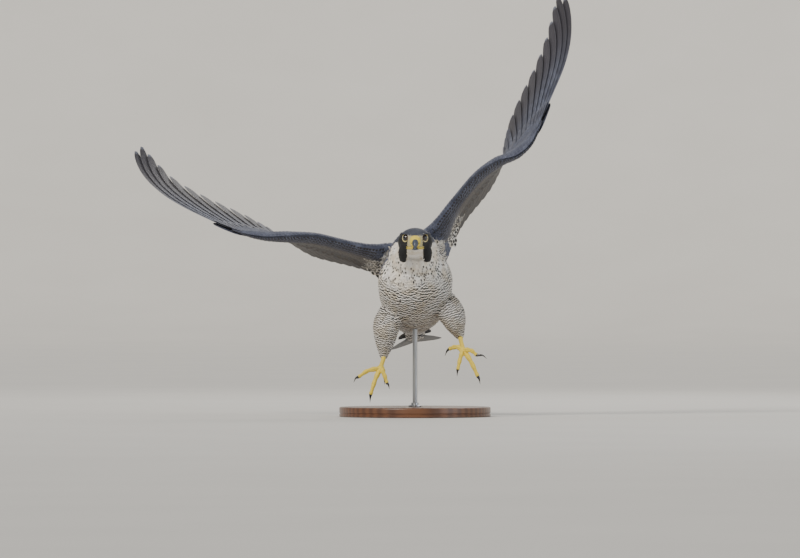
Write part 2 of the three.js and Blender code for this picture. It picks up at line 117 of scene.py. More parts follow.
BODY_CENTRE = np.array([0, 0, 202.0])
BODY_PITCH = math.radians(40)
BODY_ROLL = math.radians(12)
SPINE_FORWARD = np.array([0, -math.cos(BODY_PITCH), math.sin(BODY_PITCH)])
SPINE_UP = np.array([0, math.sin(BODY_PITCH), math.cos(BODY_PITCH)])
ACROSS = np.array([1.0, 0, 0])
BODY_LEFT = ACROSS * math.cos(BODY_ROLL) + SPINE_UP * math.sin(BODY_ROLL)
BODY_UP = SPINE_UP * math.cos(BODY_ROLL) - ACROSS * math.sin(BODY_ROLL)

torso_width = through((-114, 8), (-100, 18), (-80, 30), (-55, 44), (-25, 54), (5, 60), (35, 62),
                      (60, 56), (80, 43), (92, 24))
torso_depth = through((-114, 7), (-100, 15), (-80, 26), (-55, 38), (-25, 47), (5, 52), (35, 52),
                      (60, 47), (80, 37), (92, 21))
torso_lift = through((-114, 13), (-80, 7), (-25, 0), (35, -2), (92, 6))

HEAD_CENTRE = np.array([0, -112, 294.0])
head_width = through((-38, 8), (-34, 17), (-25, 25), (-12, 28.5), (-3, 28.5), (6, 25.5), (13, 21),
                     (20, 16), (26, 12), (33, 8.5))
head_top = through((-38, 6), (-34, 11), (-25, 15.5), (-12, 17), (0, 17), (10, 16), (18, 13.5),
                   (24, 10), (29, 6.5), (33, 3.5))
head_bottom = through((-38, -10), (-34, -20), (-25, -28), (-12, -31), (0, -31), (10, -29),
                      (18, -27), (24, -23.5), (29, -20.5), (33, -17))

EYE_RADIUS = 7.6
EYE_PLACE = (12.6, 13.5, 0)
EYE_TURN = math.radians(42)
LID_RADIUS = 6.2


def body_point(sideways, along, upward):
    """A point given in the body's own axes."""
    return BODY_CENTRE + BODY_LEFT * sideways + SPINE_FORWARD * along + BODY_UP * upward


def head_point(sideways, forward, upward):
    """A point given from between the eyes: sideways, forward and up."""
    return HEAD_CENTRE + np.array([sideways, -forward, upward])


def eye_centre(side):
    sideways, forward, upward = EYE_PLACE
    return head_point(SIDES[side] * sideways, forward, upward)


def eye_look(side):
    return np.array([SIDES[side] * math.sin(EYE_TURN), -math.cos(EYE_TURN), 0])


# Legs: hip, knee, ankle and root of the toes; each toe's tip and claw tip from that root, and its size

LEGS = {
    "right": {
        "hip": (-34, -6, 176),
        "knee": (-47, -22, 150),
        "ankle": (-52, -10, 97),
        "foot": (-57, -50, 80),
    },
    "left": {
        "hip": (40, -6, 196),
        "knee": (60, -22, 170),
        "ankle": (75, -10, 130),
        "foot": (79, -50, 110),
    },
}
TOES = {
    "right": {
        "outer": ((-36, -10, -14), (-44, -8, -23), 3.9),
        "middle": ((-16, -12, -43), (-17, -6, -56), 4.4),
        "inner": ((11, -10, -24), (15, -4, -34), 4.1),
        "hind": ((6, 22, -12), (7, 27, -27), 4.1),
    },
    "left": {
        "outer": ((22, -14, -8), (39, -14, -14), 3.9),
        "middle": ((24, -12, -43), (28, -4, -56), 4.4),
        "inner": ((-9, -12, -32), (-10, -4, -43), 4.1),
        "hind": ((-22, 16, 2), (-30, 22, -10), 4.1),
    },
}


def joint(side, name):
    return np.array(LEGS[side][name], float)


# Wings: a flat plan, outward and back from the shoulder, is bent and twisted into its place

WRIST = 152
HAND_END = 222
WING_START = -60
WING_REACH = 560
wing_lead = through((-60, 6), (0, -4), (80, -13), (150, -17), (200, -8), (236, 5), (300, 22),
                    (380, 45), (452, 70))
wing_trail = through((-60, 112), (0, 118), (60, 120), (150, 128), (208, 133), (260, 131),
                     (320, 126), (380, 115), (412, 106), (440, 94), (456, 80))
wing_depth = through((-60, 36), (0, 30), (30, 20), (80, 17), (152, 18), (205, 12), (236, 2.4))
wing_rear = through((-60, 96), (0, 88), (40, 64), (80, 54), (152, 48), (200, 34), (222, 26), (236, 16))
wing_sweep = through((-60, -40), (0, -52), (152, -90), (222, -90), (458, -55))
flesh_share = through((0, 0.16), (0.07, 0.6), (0.3, 1), (0.62, 0.72), (1, 0.24))

WINGS = {
    "right": {
        "shoulder": (-61, 0, 255),
        "rise": through((-60, 15), (130, 14.4), (193, 18), (268, 23.4), (342, 29), (399, 46),
                        (443, 62), (480, 68)),
        "twist": through((-45, 46), (-15, 34), (10, 21), (50, 16), (100, 14), (152, 3), (190, -7),
                         (230, -13), (310, -18), (375, -24), (420, -33), (458, -38)),
    },
    "left": {
        "shoulder": (48, 0, 298),
        "rise": through((-60, 40), (0, 62), (62, 52), (111, 49), (144, 46), (175, 53), (220, 66),
                        (309, 65), (357, 72), (410, 85), (450, 92)),
        "twist": through((-45, 46), (-15, 34), (10, 21), (50, 16), (100, 14), (150, 4), (178, -11),
                         (212, -20), (300, -25), (400, -34), (458, -38)),
    },
}


def wing_place(side):
    """The function that carries points of the flat wing, outward, back and above, to their places."""
    wing = WINGS[side]
    stations = np.arange(WING_START, WING_START + WING_REACH + 1.0)
    angles = np.radians(wing["rise"](stations[:-1] + 0.5))
    spine_x = np.concatenate([[0], np.cumsum(SIDES[side] * np.cos(angles))])
    spine_z = np.concatenate([[0], np.cumsum(np.sin(angles))])
    shoulder = np.array(wing["shoulder"], float)
    start_x = shoulder[0] - np.interp(0, stations, spine_x)
    start_z = shoulder[2] - np.interp(0, stations, spine_z)

    def place(outward, back, above):
        outward, back, above = np.broadcast_arrays(outward, back, above)
        angle = np.radians(wing["rise"](outward))
        turn = np.radians(wing["twist"](outward))
        middle = (wing_lead(outward) + wing_trail(outward)) / 2
        lifted = above * np.cos(turn) - (back - middle) * np.sin(turn)
        rearward = wing_sweep(outward) + middle + (back - middle) * np.cos(turn) + above * np.sin(turn)
        x = start_x + np.interp(outward, stations, spine_x) - SIDES[side] * np.sin(angle) * lifted
        z = start_z + np.interp(outward, stations, spine_z) + np.cos(angle) * lifted
        return np.stack([x, shoulder[1] + rearward, z], axis=-1)

    return place


def flesh_height(outward, back):
    """How far the fleshed wing's surface stands off its middle plane."""
    lead, rear = wing_lead(outward), wing_rear(outward)
    share = np.clip((back - lead) / (rear - lead), 0, 1)
    return flesh_share(share) * wing_depth(outward) / 2


# Tail

TAIL_ROOT = np.array([0, 74, 136.0])
TAIL_LENGTH = 168
TAIL_DROP = math.radians(5)
TAIL_ROLL = math.radians(13)
RECTRICES = 6
TIER = 0.95
TAIL_ACROSS = np.array([math.cos(TAIL_ROLL), 0, math.sin(TAIL_ROLL)])
TAIL_ALONG = np.array([0, math.cos(TAIL_DROP), -math.sin(TAIL_DROP)])
TAIL_UP = np.cross(TAIL_ACROSS, TAIL_ALONG)


def tail_place(sign):
    """The function that carries points of one half of the flat tail to their places."""

    def place(sideways, back, above):
        parts = np.broadcast_arrays(sign * sideways, back, above)
        ways = (TAIL_ACROSS, TAIL_ALONG, TAIL_UP)
        return TAIL_ROOT + sum(part[..., None] * way for part, way in zip(parts, ways))

    return place


# Making meshes from arrays


def mesh_object(name, points, polygons, material, attributes=None, bake=None, sharp=None):
    """A mesh object at the origin, from points and arrays of polygons with as many corners each."""
    mesh = bpy.data.meshes.new(name)
    mesh.vertices.add(len(points))
    mesh.vertices.foreach_set("co", (points * MM).astype(np.float32).ravel())
    if polygons:
        corners = np.concatenate([part.ravel() for part in polygons]).astype(np.int32)
        sizes = np.concatenate([np.full(len(part), part.shape[1]) for part in polygons])
        starts = np.concatenate([[0], np.cumsum(sizes)[:-1]]).astype(np.int32)
        mesh.loops.add(len(corners))
        mesh.polygons.add(len(sizes))
        mesh.loops.foreach_set("vertex_index", corners)
        mesh.polygons.foreach_set("loop_start", starts)
    mesh.update(calc_edges=True)
    mesh.validate()
    add_attributes(mesh, attributes or {})
    if bake is not None:
        mesh.uv_layers.new(name="OFBake").uv.foreach_set("vector", bake[corners].astype(np.float32).ravel())
    mesh.shade_smooth()
    if sharp is not None:
        mesh.set_sharp_from_angle(angle=math.radians(sharp))
    mesh.materials.append(material)
    piece = bpy.data.objects.new(name, mesh)
    bpy.context.scene.collection.objects.link(piece)
    return piece


def add_attributes(mesh, attributes):
    """Writes arrays as point attributes: one number, three or four to a point."""
    for name, values in attributes.items():
        width = values.shape[1] if values.ndim > 1 else 1
        kinds = {1: ("FLOAT", "value"), 3: ("FLOAT_VECTOR", "vector"), 4: ("FLOAT_COLOR", "color")}
        kind, field = kinds[width]
        attribute = mesh.attributes.new(name, kind, "POINT")
        attribute.data.foreach_set(field, values.astype(np.float32).ravel())


def ring(centre, sideways, upward, sides, fullness=1.0):
    """One ring of an ellipse-like section. Above 1, fullness squares it off."""
    angles = 2 * math.pi * (np.arange(sides) + 0.5) / sides
    cosine, sine = np.cos(angles), np.sin(angles)
    wide = np.sign(cosine) * np.abs(cosine) ** (1 / fullness)
    high = np.sign(sine) * np.abs(sine) ** (1 / fullness)
    return np.asarray(centre) + wide[:, None] * sideways + high[:, None] * upward


def tube(rings):
    """The closed surface over rings of points: the points, its quads and its two end faces."""
    rings = np.asarray(rings)
    count, sides = rings.shape[:2]
    index = np.arange(count * sides).reshape(count, sides)
    after = np.roll(index, -1, axis=1)
    quads = np.stack([index[:-1], after[:-1], after[1:], index[1:]], axis=-1).reshape(-1, 4)
    ends = np.stack([index[0][::-1], index[-1]])
    return rings.reshape(-1, 3), [quads, ends]


def joined(tubes):
    """Several surfaces as one list of points and polygons."""
    points, polygons, start = [], [], 0
    for part, faces in tubes:
        points.append(part)
        polygons += [face + start for face in faces]
        start += len(part)
    return np.concatenate(points), polygons


def path_through(points):
    """A smooth path through points, as a function of a share from 0 to 1."""
    lines = [through(*enumerate(values)) for values in np.array(points, float).T]
    last = len(points) - 1
    return lambda share: np.stack([line(np.asarray(share) * last) for line in lines], axis=-1)


def limb(points, radius, sides=24, steps=24, flat=1.0, grow=0.0):
    """A rounded limb along a smooth path, with its radius at each share of the way."""
    path = path_through(points)
    rings = []
    for share in np.linspace(0, 1, steps):
        way = unit(path(min(share + 0.01, 1)) - path(max(share - 0.01, 0)))
        side = np.cross((0, 0, 1), way) if abs(way[0]) > 0.9 else ACROSS
        side = unit(side - way * along_axis(side, way))
        size = radius(share) + grow
        rings.append(ring(path(share), side * size, np.cross(way, side) * size * flat, sides))
    return tube(rings)


def outward_faces(piece):
    """Merges doubled points and turns every face of a piece outward."""
    form = bmesh.new()
    form.from_mesh(piece.data)
    bmesh.ops.remove_doubles(form, verts=form.verts, dist=1e-6)
    bmesh.ops.recalc_face_normals(form, faces=form.faces)
    form.to_mesh(piece.data)
    form.free()


def applied(piece):
    """Makes a piece's modifiers part of its mesh."""
    graph = bpy.context.evaluated_depsgraph_get()
    mesh = bpy.data.meshes.new_from_object(piece.evaluated_get(graph))
    piece.modifiers.clear()
    piece.data = mesh
    return piece


def fused(piece, voxel, smoothing):
    """Fuses the closed forms of a piece into one smooth surface."""
    remesh = piece.modifiers.new("Fuse", "REMESH")
    remesh.mode = "VOXEL"
    remesh.voxel_size = voxel * MM
    remesh.use_smooth_shade = True
    smooth = piece.modifiers.new("Smooth", "SMOOTH")
    smooth.factor = 0.5
    smooth.iterations = smoothing
    return applied(piece)


def points_of(piece):
    """A piece's points in millimetres."""
    flat = np.empty(len(piece.data.vertices) * 3, np.float32)
    piece.data.vertices.foreach_get("co", flat)
    return flat.reshape(-1, 3).astype(float) / MM


# Feathers


def lens_faces(count, rows, columns, turned):
    """The faces of many small feathers: an arched top, a flat underside and two ends, closed."""
    index = np.arange(rows * columns).reshape(rows, columns)
    top = np.stack([index[:-1, :-1], index[:-1, 1:], index[1:, 1:], index[1:, :-1]], axis=-1).reshape(-1, 4)
    under = np.stack([index[:-1, -1], index[:-1, 0], index[1:, 0], index[1:, -1]], axis=-1)
    ends = np.stack([index[0, ::-1], index[-1]])
    starts = (np.arange(count) * rows * columns)[:, None, None]
    parts = [(part + starts).reshape(-1, part.shape[1]) for part in (np.concatenate([top, under]), ends)]
    return [part[:, ::-1] for part in parts] if turned else parts


def blade_faces(count, rows, columns, turned):
    """The faces of many large feathers, each with a full top, a full underside and an edge round it."""
    index = np.arange(rows * columns).reshape(rows, columns)
    low = index + rows * columns
    top = np.stack([index[:-1, :-1], index[:-1, 1:], index[1:, 1:], index[1:, :-1]], axis=-1).reshape(-1, 4)
    round_top = np.concatenate([index[0, :-1], index[:-1, -1], index[-1, :0:-1], index[:0:-1, 0]])
    round_low = round_top + rows * columns
    edge = np.stack([np.roll(round_top, -1), round_top, round_low, np.roll(round_low, -1)], axis=-1)
    faces = np.concatenate([top, (top + rows * columns)[:, ::-1], edge])
    starts = (np.arange(count) * low.size * 2)[:, None, None]
    faces = (faces + starts).reshape(-1, 4)
    return [faces[:, ::-1]] if turned else [faces]


def spread_over(values, shape):
    """Each feather's value at each of its points."""
    return np.broadcast_to(np.asarray(values, float).reshape(-1, 1, 1), shape)


SMALL_ROWS = np.array([0, 0.3, 0.62, 0.86, 1])
SMALL_COLUMNS = np.array([-1, -0.55, 0, 0.55, 1])
TINY_ROWS = np.array([0, 0.4, 0.8, 1])
TINY_COLUMNS = np.array([-1, 0, 1])
small_web = through((0, 0.3), (0.3, 0.85), (0.62, 1), (0.86, 0.78), (1, 0.3))
flight_web = through((0, 0.12), (0.1, 0.6), (0.3, 0.95), (0.6, 1), (0.84, 0.97), (0.93, 0.86),
                     (0.975, 0.66), (1, 0.3))
TUFT_PATCH = 0.003
SHOWN_SHARE = 0.75


def coat_piece(name, tops, marks, roots_uv, chance, tone, turned=False):
    """A piece of small feathers from their top points, feather by row by column."""
    count, rows, columns = tops.shape[:3]
    shape = (count, rows, columns)
    across = np.broadcast_to(np.linspace(-1, 1, columns), shape)
    share = np.broadcast_to((SMALL_ROWS if rows == len(SMALL_ROWS) else TINY_ROWS)[:, None], shape)
    vane = np.stack([across, share, spread_over(chance, shape)], axis=-1).reshape(-1, 3)
    patch = np.stack([across * 0.5, share - 0.5], axis=-1) * TUFT_PATCH
    bake = roots_uv[:, None, None, :] + patch
    attributes = {"vane": vane, "marks": np.repeat(marks, rows * columns, axis=0)}
    attributes |= {key: spread_over(value, shape).reshape(-1) for key, value in tone.items()}
    polygons = lens_faces(count, rows, columns, turned)
    return mesh_object(name, tops.reshape(-1, 3), polygons, plumage_material(), attributes,
                       bake.reshape(-1, 2), 60)


# Material building


class Socket:
    """A value in a material's node tree: arithmetic on it adds Math nodes."""

    def __init__(self, finish, link):
        self.finish = finish
        self.link = link

    def math(self, operation, *others, clamp=False):
        sockets = dict(enumerate((self, *others)))
        settings = {"operation": operation, "use_clamp": clamp}
        return self.finish.node("ShaderNodeMath", settings, sockets)

    def __add__(self, other):
        return self.math("ADD", other)

    def __sub__(self, other):
        return self.math("SUBTRACT", other)

    def __mul__(self, other):
        return self.math("MULTIPLY", other)

    def __truediv__(self, other):
        return self.math("DIVIDE", other)

    def __rsub__(self, other):
        return self.finish.node("ShaderNodeMath", {"operation": "SUBTRACT"}, {0: other, 1: self})

    def __pow__(self, other):
        return self.math("POWER", other)

    def __abs__(self):
        return self.math("ABSOLUTE")

    __radd__ = __add__
    __rmul__ = __mul__

    def most(self, other):
        return self.math("MAXIMUM", other)

    def fraction(self):
        return self.math("FRACT")

    def sine(self):
        return self.math("SINE")

    def between(self, low, high):
        """0 at low and 1 at high, smooth between them."""
        settings = {"interpolation_type": "SMOOTHSTEP"}
        if low < high:
            return self.finish.node("ShaderNodeMapRange", settings, {0: self, 1: low, 2: high})
        return self.finish.node("ShaderNodeMapRange", settings, {0: self, 1: high, 2: low, 3: 1.0, 4: 0.0})


class Finish:
    """One material: its principled shader, and the nodes that feed it."""

    def __init__(self, name, **constants):
        self.material = bpy.data.materials.new(name)
        self.material.use_nodes = True
        self.tree = self.material.node_tree
        self.shader = self.tree.nodes["Principled BSDF"]
        for socket, value in constants.items():
            self.shader.inputs[socket.replace("_", " ")].default_value = value

    def node(self, kind, settings=None, sockets=None, output=0):
        """Adds a node: its settings first, then the values or links of its sockets."""
        made = self.tree.nodes.new(kind)
        for name, value in (settings or {}).items():
            if name == "stops":
                ramp = made.color_ramp.elements
                while len(ramp) < len(value):
                    ramp.new(0.5)
                for stop, (place, colour) in zip(ramp, value):
                    stop.position = place
                    stop.color = colour
            else:
                setattr(made, name, value)
        for name, value in (sockets or {}).items():
            if isinstance(value, Socket):
                self.tree.links.new(value.link, made.inputs[name])
            else:
                made.inputs[name].default_value = value
        return Socket(self, made.outputs[output])

    def attribute(self, name, output="Fac"):
        return self.node("ShaderNodeAttribute", {"attribute_name": name}, output=output)

    def split(self, vector):
        """The three parts of a vector or colour."""
        made = self.node("ShaderNodeSeparateXYZ", sockets={0: vector}).link.node
        return [Socket(self, made.outputs[i]) for i in range(3)]

    def position(self):
        """Object coordinates in metres."""
        return self.node("ShaderNodeTexCoord", output="Object")

    def mix(self, share, first, second):
        """A colour between two colours."""
        settings = {"data_type": "RGBA"}
        return self.node("ShaderNodeMix", settings, {0: share, 6: first, 7: second}, output=2)

    def shade(self, colour, amount):
        """A colour made lighter or darker by a number."""
        return self.node("ShaderNodeVectorMath", {"operation": "SCALE"}, {0: colour, 3: amount})

    def stretched(self, *scale):
        """The place on the piece, scaled along each axis."""
        return self.node("ShaderNodeMapping", sockets={"Vector": self.position(), "Scale": scale})

    def noise(self, scale, detail=3.0, roughness=0.5, vector=None):
        sockets = {"Vector": vector or self.position(), "Scale": scale, "Detail": detail,
                   "Roughness": roughness}
        return self.node("ShaderNodeTexNoise", sockets=sockets)

    def bump(self, height, strength, distance):
        sockets = {"Height": height, "Strength": strength, "Distance": distance}
        self.feed("Normal", self.node("ShaderNodeBump", sockets=sockets))

    def feed(self, name, value):
        self.tree.links.new(value.link, self.shader.inputs[name])


def srgb(code):
    """A colour code as the linear colour that a shader takes."""
    parts = [int(code[i:i + 2], 16) / 255 for i in (1, 3, 5)]
    return (*[p / 12.92 if p <= 0.04045 else ((p + 0.055) / 1.055) ** 2.4 for p in parts], 1.0)


def settings():
    return bpy.context.scene.falcon


def made_once(name, make):
    """The material of that name, made at its first use."""
    return bpy.data.materials.get(name) or make(name).material


def plumage_material():
    return made_once("plumage", make_plumage)


def make_plumage(name):
    """Small feathers and skin: the marks attribute says how slate, barred, spotted or black each is."""
    look = settings()
    finish = Finish(name, Roughness=0.72, Sheen_Weight=0.15, Sheen_Roughness=0.5)
    marks = finish.attribute("marks", "Color")
    slate, barred, spotted = finish.split(marks)
    black = finish.attribute("marks", "Alpha")
    across, along, chance = finish.split(finish.attribute("vane", "Vector"))
    rows = finish.attribute("rows")
    under = finish.attribute("under")
    tone = finish.noise(55.0, 2.0)
    bow = across * across
    ground = finish.mix(tone.between(0.35, 0.7), look.breast_white, look.breast_cream)
    # Under the wing the ground turns to the lining buff, whose darkness is painted shade over the coverts'
    # real barring.
    ground = finish.mix(under, ground, look.shaded_lining_buff)
    ground = finish.mix(finish.attribute("warm"), ground, look.lore_yellow)
    back = finish.mix(tone.between(0.3, 0.75), look.slate_dark, look.slate)
    pale_edge = abs(across).between(0.55, 1.0).most(along.between(0.86, 1.0)) * 0.35
    back = finish.mix(pale_edge, back, look.slate_edge)
    back = finish.mix(abs(across).between(0.12, 0.03) * 0.45, back, look.marking)
    place = along * rows + bow * 0.35 + chance * 0.3
    stripe = abs(place.fraction() - 0.5).between(0.32, 0.22)
    drop = (along - 0.8) / 0.2
    spot = (drop * drop + (across / 0.55) * (across / 0.55)).between(1.15, 0.7)
    shown = (stripe * barred).most(spot * spotted)
    colour = finish.mix(slate, ground, back)
    # Under the wing the bars take the lining brown, darkened with painted shade.
    colour = finish.mix(shown, colour, finish.mix(under, look.marking, look.shaded_lining_brown))
    colour = finish.mix(black, colour, look.malar)
    colour = finish.shade(colour, 0.9 + chance * 0.16)
    finish.feed("Base Color", colour)
    barbs = (along * 60.0 + abs(across) * 22.0).sine()
    finish.bump(barbs * 0.35 + finish.noise(900.0, 2.0) * 0.5, 0.25, 0.0003)
    return finish


def make_flight(name):
    """Large feathers: slate above, barred below in browns darkened with painted shade, with dark tips and
    pale edges.
    """
    look = settings()
    finish = Finish(name, Roughness=0.58, Sheen_Weight=0.1)
    across, along, chance = finish.split(finish.attribute("vane", "Vector"))
    under = finish.attribute("under")
    rows = finish.attribute("rows")
    dark = finish.attribute("dark")
    tone = finish.noise(40.0, 3.0)
    place = along * rows + across * 0.5 + finish.noise(90.0, 2.0) * 0.45
    stripe = abs(place.fraction() - 0.5).between(0.34, 0.2)
    inner = across.between(0.05, -0.25)
    upper = finish.mix(tone.between(0.3, 0.7), look.slate_dark, look.slate)
    upper = finish.mix(dark, upper, look.tip_dark)
    upper = finish.mix(stripe * 0.3 * (1 - dark), upper, look.marking)
    upper = finish.mix(along.between(0.975, 0.995) * 0.6, upper, look.slate_edge)
    upper = finish.mix(abs(across).between(0.93, 1.0) * 0.35, upper, look.slate_edge)
    # Underside: real barring on a ground darkened with painted shade.
    below = finish.mix(stripe * inner * (1 - dark * 0.8) * 0.8, look.shaded_lining_brown, look.shaded_lining_buff)
    below = finish.mix(dark * 0.75, below, look.tip_dark)
    colour = finish.mix(under, upper, below)
    shaft = abs(across).between(0.06, 0.02)
    colour = finish.mix(shaft * 0.7, colour, look.shaft)
    finish.feed("Base Color", finish.shade(colour, 0.88 + chance * 0.2))
    barbs = (along * rows * 70.0 - abs(across) * 50.0).sine()
    finish.bump(barbs * 0.5 + finish.noise(600.0, 2.0) * 0.4, 0.1, 0.0002)
    return finish


def flight_material():
    return made_once("flight_feather", make_flight)


# The skin: one surface over torso, neck, head, thighs and the fleshed part of both wings

# How deep the coat over each form is, which is how far the skin lies inside the solids
TORSO_COAT = 2.4
NECK_COAT = 2.4
HEAD_COAT = 1.1
THIGH_COAT = 1.8
WING_COAT = 1.2
SKIN_VOXEL = 1.7
SKIN_SMOOTHINGS = 8
TORSO_REAR, TORSO_FRONT = -114, 92
HEAD_BACK, HEAD_FRONT = -38, 33
SKIN_WING_START = -38
# How far the skin lies under the eyeball's surface
EYE_SINK = 1.2
neck_radius = through((0, 34), (0.35, 44), (0.7, 31), (1, 20))
thigh_radius = through((0, 22), (0.3, 23), (0.55, 19), (0.8, 12), (1, 6.5))
NECK_PATH = [body_point(0, 62, 8), body_point(0, 82, 8), head_point(0, -22, -10), head_point(0, -6, -8)]


def torso_form():
    rings = []
    for along in np.linspace(TORSO_REAR + TORSO_COAT, TORSO_FRONT - TORSO_COAT, 60):
        wide = BODY_LEFT * (torso_width(along) - TORSO_COAT)
        high = BODY_UP * (torso_depth(along) - TORSO_COAT)
        rings.append(ring(body_point(0, along, torso_lift(along)), wide, high, 60, 1.08))
    return tube(rings)


def head_form():
    rings = []
    for forward in np.linspace(HEAD_BACK + HEAD_COAT, HEAD_FRONT, 50):
        middle = (head_top(forward) + head_bottom(forward)) / 2
        height = (head_top(forward) - head_bottom(forward)) / 2 - HEAD_COAT
        wide = ACROSS * (head_width(forward) - HEAD_COAT)
        rings.append(ring(head_point(0, forward, middle), wide, np.array([0, 0, height]), 48))
    return tube(rings)


def brow_form(side):
    x = SIDES[side]
    points = [head_point(x * 11, 25, 4.5), head_point(x * 17, 20, 6.5), head_point(x * 22, 12, 7),
              head_point(x * 25, 2, 5)]
    return limb(points, through((0, 1.0), (0.35, 2.2), (0.7, 2.2), (1, 1.0)), 12, 12)


def cheek_form(side):
    x = SIDES[side]
    points = [head_point(x * 18, 9, -10), head_point(x * 19, 4, -24), head_point(x * 18.5, -2, -37)]
    return limb(points, through((0, 5), (0.5, 8.4), (1, 6.2)), 24, 16)


def rump_form():
    """The rear of the body, which runs on from the torso into the tail."""
    sections = [
        (body_point(0, -70, 8), 27, 22),
        (body_point(0, -82, 8), 25, 21),
        (body_point(0, -98, 9), 20, 15),
        (tail_place(1)(0, 14, -1), 17, 10),
        (tail_place(1)(0, 32, -2), 17, 6.5),
        (tail_place(1)(0, 52, -2.5), 15, 3.4),
    ]
    centres, halves, depths = zip(*sections)
    centre, half, depth = path_through(centres), through(*enumerate(halves)), through(*enumerate(depths))
    last = len(sections) - 1
    rings = []
    for place in np.linspace(0, last, 40):
        turned = min(max(place - 2, 0), 1)
        upward = unit(BODY_UP * (1 - turned) + TAIL_UP * turned)
        rings.append(ring(centre(place / last), BODY_LEFT * (half(place) - THIGH_COAT),
                          upward * (depth(place) - THIGH_COAT), 40))
    return tube(rings)


def thigh_form(side):
    hip, knee, ankle = (joint(side, name) for name in ("hip", "knee", "ankle"))
    low = ankle + (knee - ankle) * 0.45
    return limb([hip, knee, low, ankle], thigh_radius, 32, 30, grow=-THIGH_COAT)


def wing_form(side):
    place = wing_place(side)
    shares = np.array([0, 0.03, 0.08, 0.2, 0.35, 0.5, 0.65, 0.8, 1])
    rings = []
    for outward in np.linspace(SKIN_WING_START, HAND_END, 60):
        lead, rear = wing_lead(outward) + WING_COAT, wing_rear(outward) - WING_COAT
        back = lead + (rear - lead) * shares
        height = np.maximum(flesh_height(outward, back) - WING_COAT, 0.7)
        high = place(outward, back, height)
        low = place(outward, back[::-1], -height[::-1])
        rings.append(np.concatenate([high, low]))
    return tube(rings)


def sink_eyes(piece):
    """Moves the skin over each eye to lie under the eyeball's surface."""
    points = points_of(piece)
    for side in SIDES:
        away = points - eye_centre(side)
        depth = along_axis(away, eye_look(side))
        off = np.linalg.norm(away - depth[:, None] * eye_look(side), axis=1)
        ball = np.sqrt(np.maximum(EYE_RADIUS ** 2 - off ** 2, 0))
        over = (off < LID_RADIUS) & (depth > ball - EYE_SINK)
        points[over] += ((ball - EYE_SINK - depth)[:, None] * eye_look(side))[over]
    piece.data.vertices.foreach_set("co", (points * MM).astype(np.float32).ravel())
    piece.data.update()


def make_skin():
    forms = [torso_form(), rump_form(), limb(NECK_PATH, neck_radius, 48, 40, 0.88, -NECK_COAT), head_form()]
    for side in SIDES:
        forms += [brow_form(side), cheek_form(side), thigh_form(side), wing_form(side)]
    points, polygons = joined(forms)
    piece = mesh_object("skin", points, polygons, plumage_material())
    outward_faces(piece)
    fused(piece, SKIN_VOXEL, SKIN_SMOOTHINGS)
    sink_eyes(piece)
    mesh = piece.data
    points = points_of(piece)
    count = len(points)
    marks, _, warm = body_marks(points, np.random.default_rng(3))
    add_attributes(mesh, {
        "vane": np.tile([0.5, 0.5, 0.5], (count, 1)),
        "marks": marks,
        "warm": warm,
        "rows": np.full(count, 3.0),
        "under": np.zeros(count),
    })
    mesh.materials.clear()
    mesh.materials.append(plumage_material())
    mesh.shade_smooth()
    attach(piece, BODY)
    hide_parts("torso", "neck", "head", "thigh_right", "thigh_left")
    return piece


# The lie of the body's coat: it runs back from the bill, down the neck, torso and each thigh


FLOW_STEPS = 10


def flow_lines():
    """Points along the middle of the head, neck, torso and thighs, with their directions and reach."""
    lines = [
        ([head_point(0, 31, -6), head_point(0, 10, -5), head_point(0, -18, -10), body_point(0, 96, 6),
          body_point(0, 60, 2), body_point(0, 0, 0), body_point(0, -60, 3), tail_place(1)(0, 50, -2)],
         through((0, 9), (1, 24), (2, 28), (3, 36), (4, 50), (5, 55), (6, 40), (7, 14))),
    ]
    for side in SIDES:
        hip, knee, ankle = (joint(side, name) for name in ("hip", "knee", "ankle"))
        lines.append(([hip, knee, (knee + ankle) / 2, ankle], through((0, 17), (1, 22), (2, 15), (3, 7))))
    starts, ways, reach = [], [], []
    for points, radius in lines:
        path = path_through(points)
        last = len(points) - 1
        shares = np.linspace(0, 1, FLOW_STEPS * last)
        line = path(shares)
        starts.append(line)
        ways.append(unit(np.gradient(line, axis=0)))
        reach.append(radius(shares * last))
    return np.concatenate(starts), np.concatenate(ways), np.concatenate(reach)


FLOW_POINTS, FLOW_WAYS, FLOW_REACH = flow_lines()
# The body's line has seven stretches and comes before the lines of the thighs.
BODY_FLOW = 7 * FLOW_STEPS
THIGH_FLOW = np.arange(len(FLOW_POINTS)) >= BODY_FLOW


def flow_weights(points):
    away = np.linalg.norm(points[:, None] - FLOW_POINTS, axis=-1) / FLOW_REACH
    weights = 1 / (away ** 6 + 1e-3)
    return weights / weights.sum(axis=1, keepdims=True)


def lie(points, normals):
    """The direction in which the coat lies at each point of the skin."""
    ways = flow_weights(points) @ FLOW_WAYS
    ways -= normals * (ways * normals).sum(axis=1, keepdims=True)
    return unit(ways)


def zones(points):
    """How much each point belongs to the head, the neck and the thighs, and its body coordinates."""
    away = points - BODY_CENTRE
    sideways, along, upward = (along_axis(away, way) for way in (BODY_LEFT, SPINE_FORWARD, BODY_UP))
    thigh = step_between(flow_weights(points)[:, THIGH_FLOW].sum(axis=1), 0.35, 0.65)
    from_head = points - HEAD_CENTRE
    head = step_between(np.linalg.norm(from_head / (1, 1.15, 1), axis=1), 46, 34)
    neck = step_between(along, 66, 88) * (1 - head)
    return head, neck, thigh, sideways, along, upward


# Slate meets the pale underparts where a point's height, with this much added for a surface that faces
# up and back, passes the flank's edge.
FLANK_TURN = 45
BACKWARD = BODY_UP + np.array([0, 0.8, 0])
BACKWARD = BACKWARD / np.linalg.norm(BACKWARD)
flank_edge = through((-114, 14), (-70, 16), (0, 22), (60, 22), (90, 20), (125, 17))
# The lower edge of the dark hood, by the place forward of the head's middle
hood_edge = through((-44, -18), (-24, -8), (-6, -2), (6, 0), (14, 4), (22, 4.2), (34, 1.5))
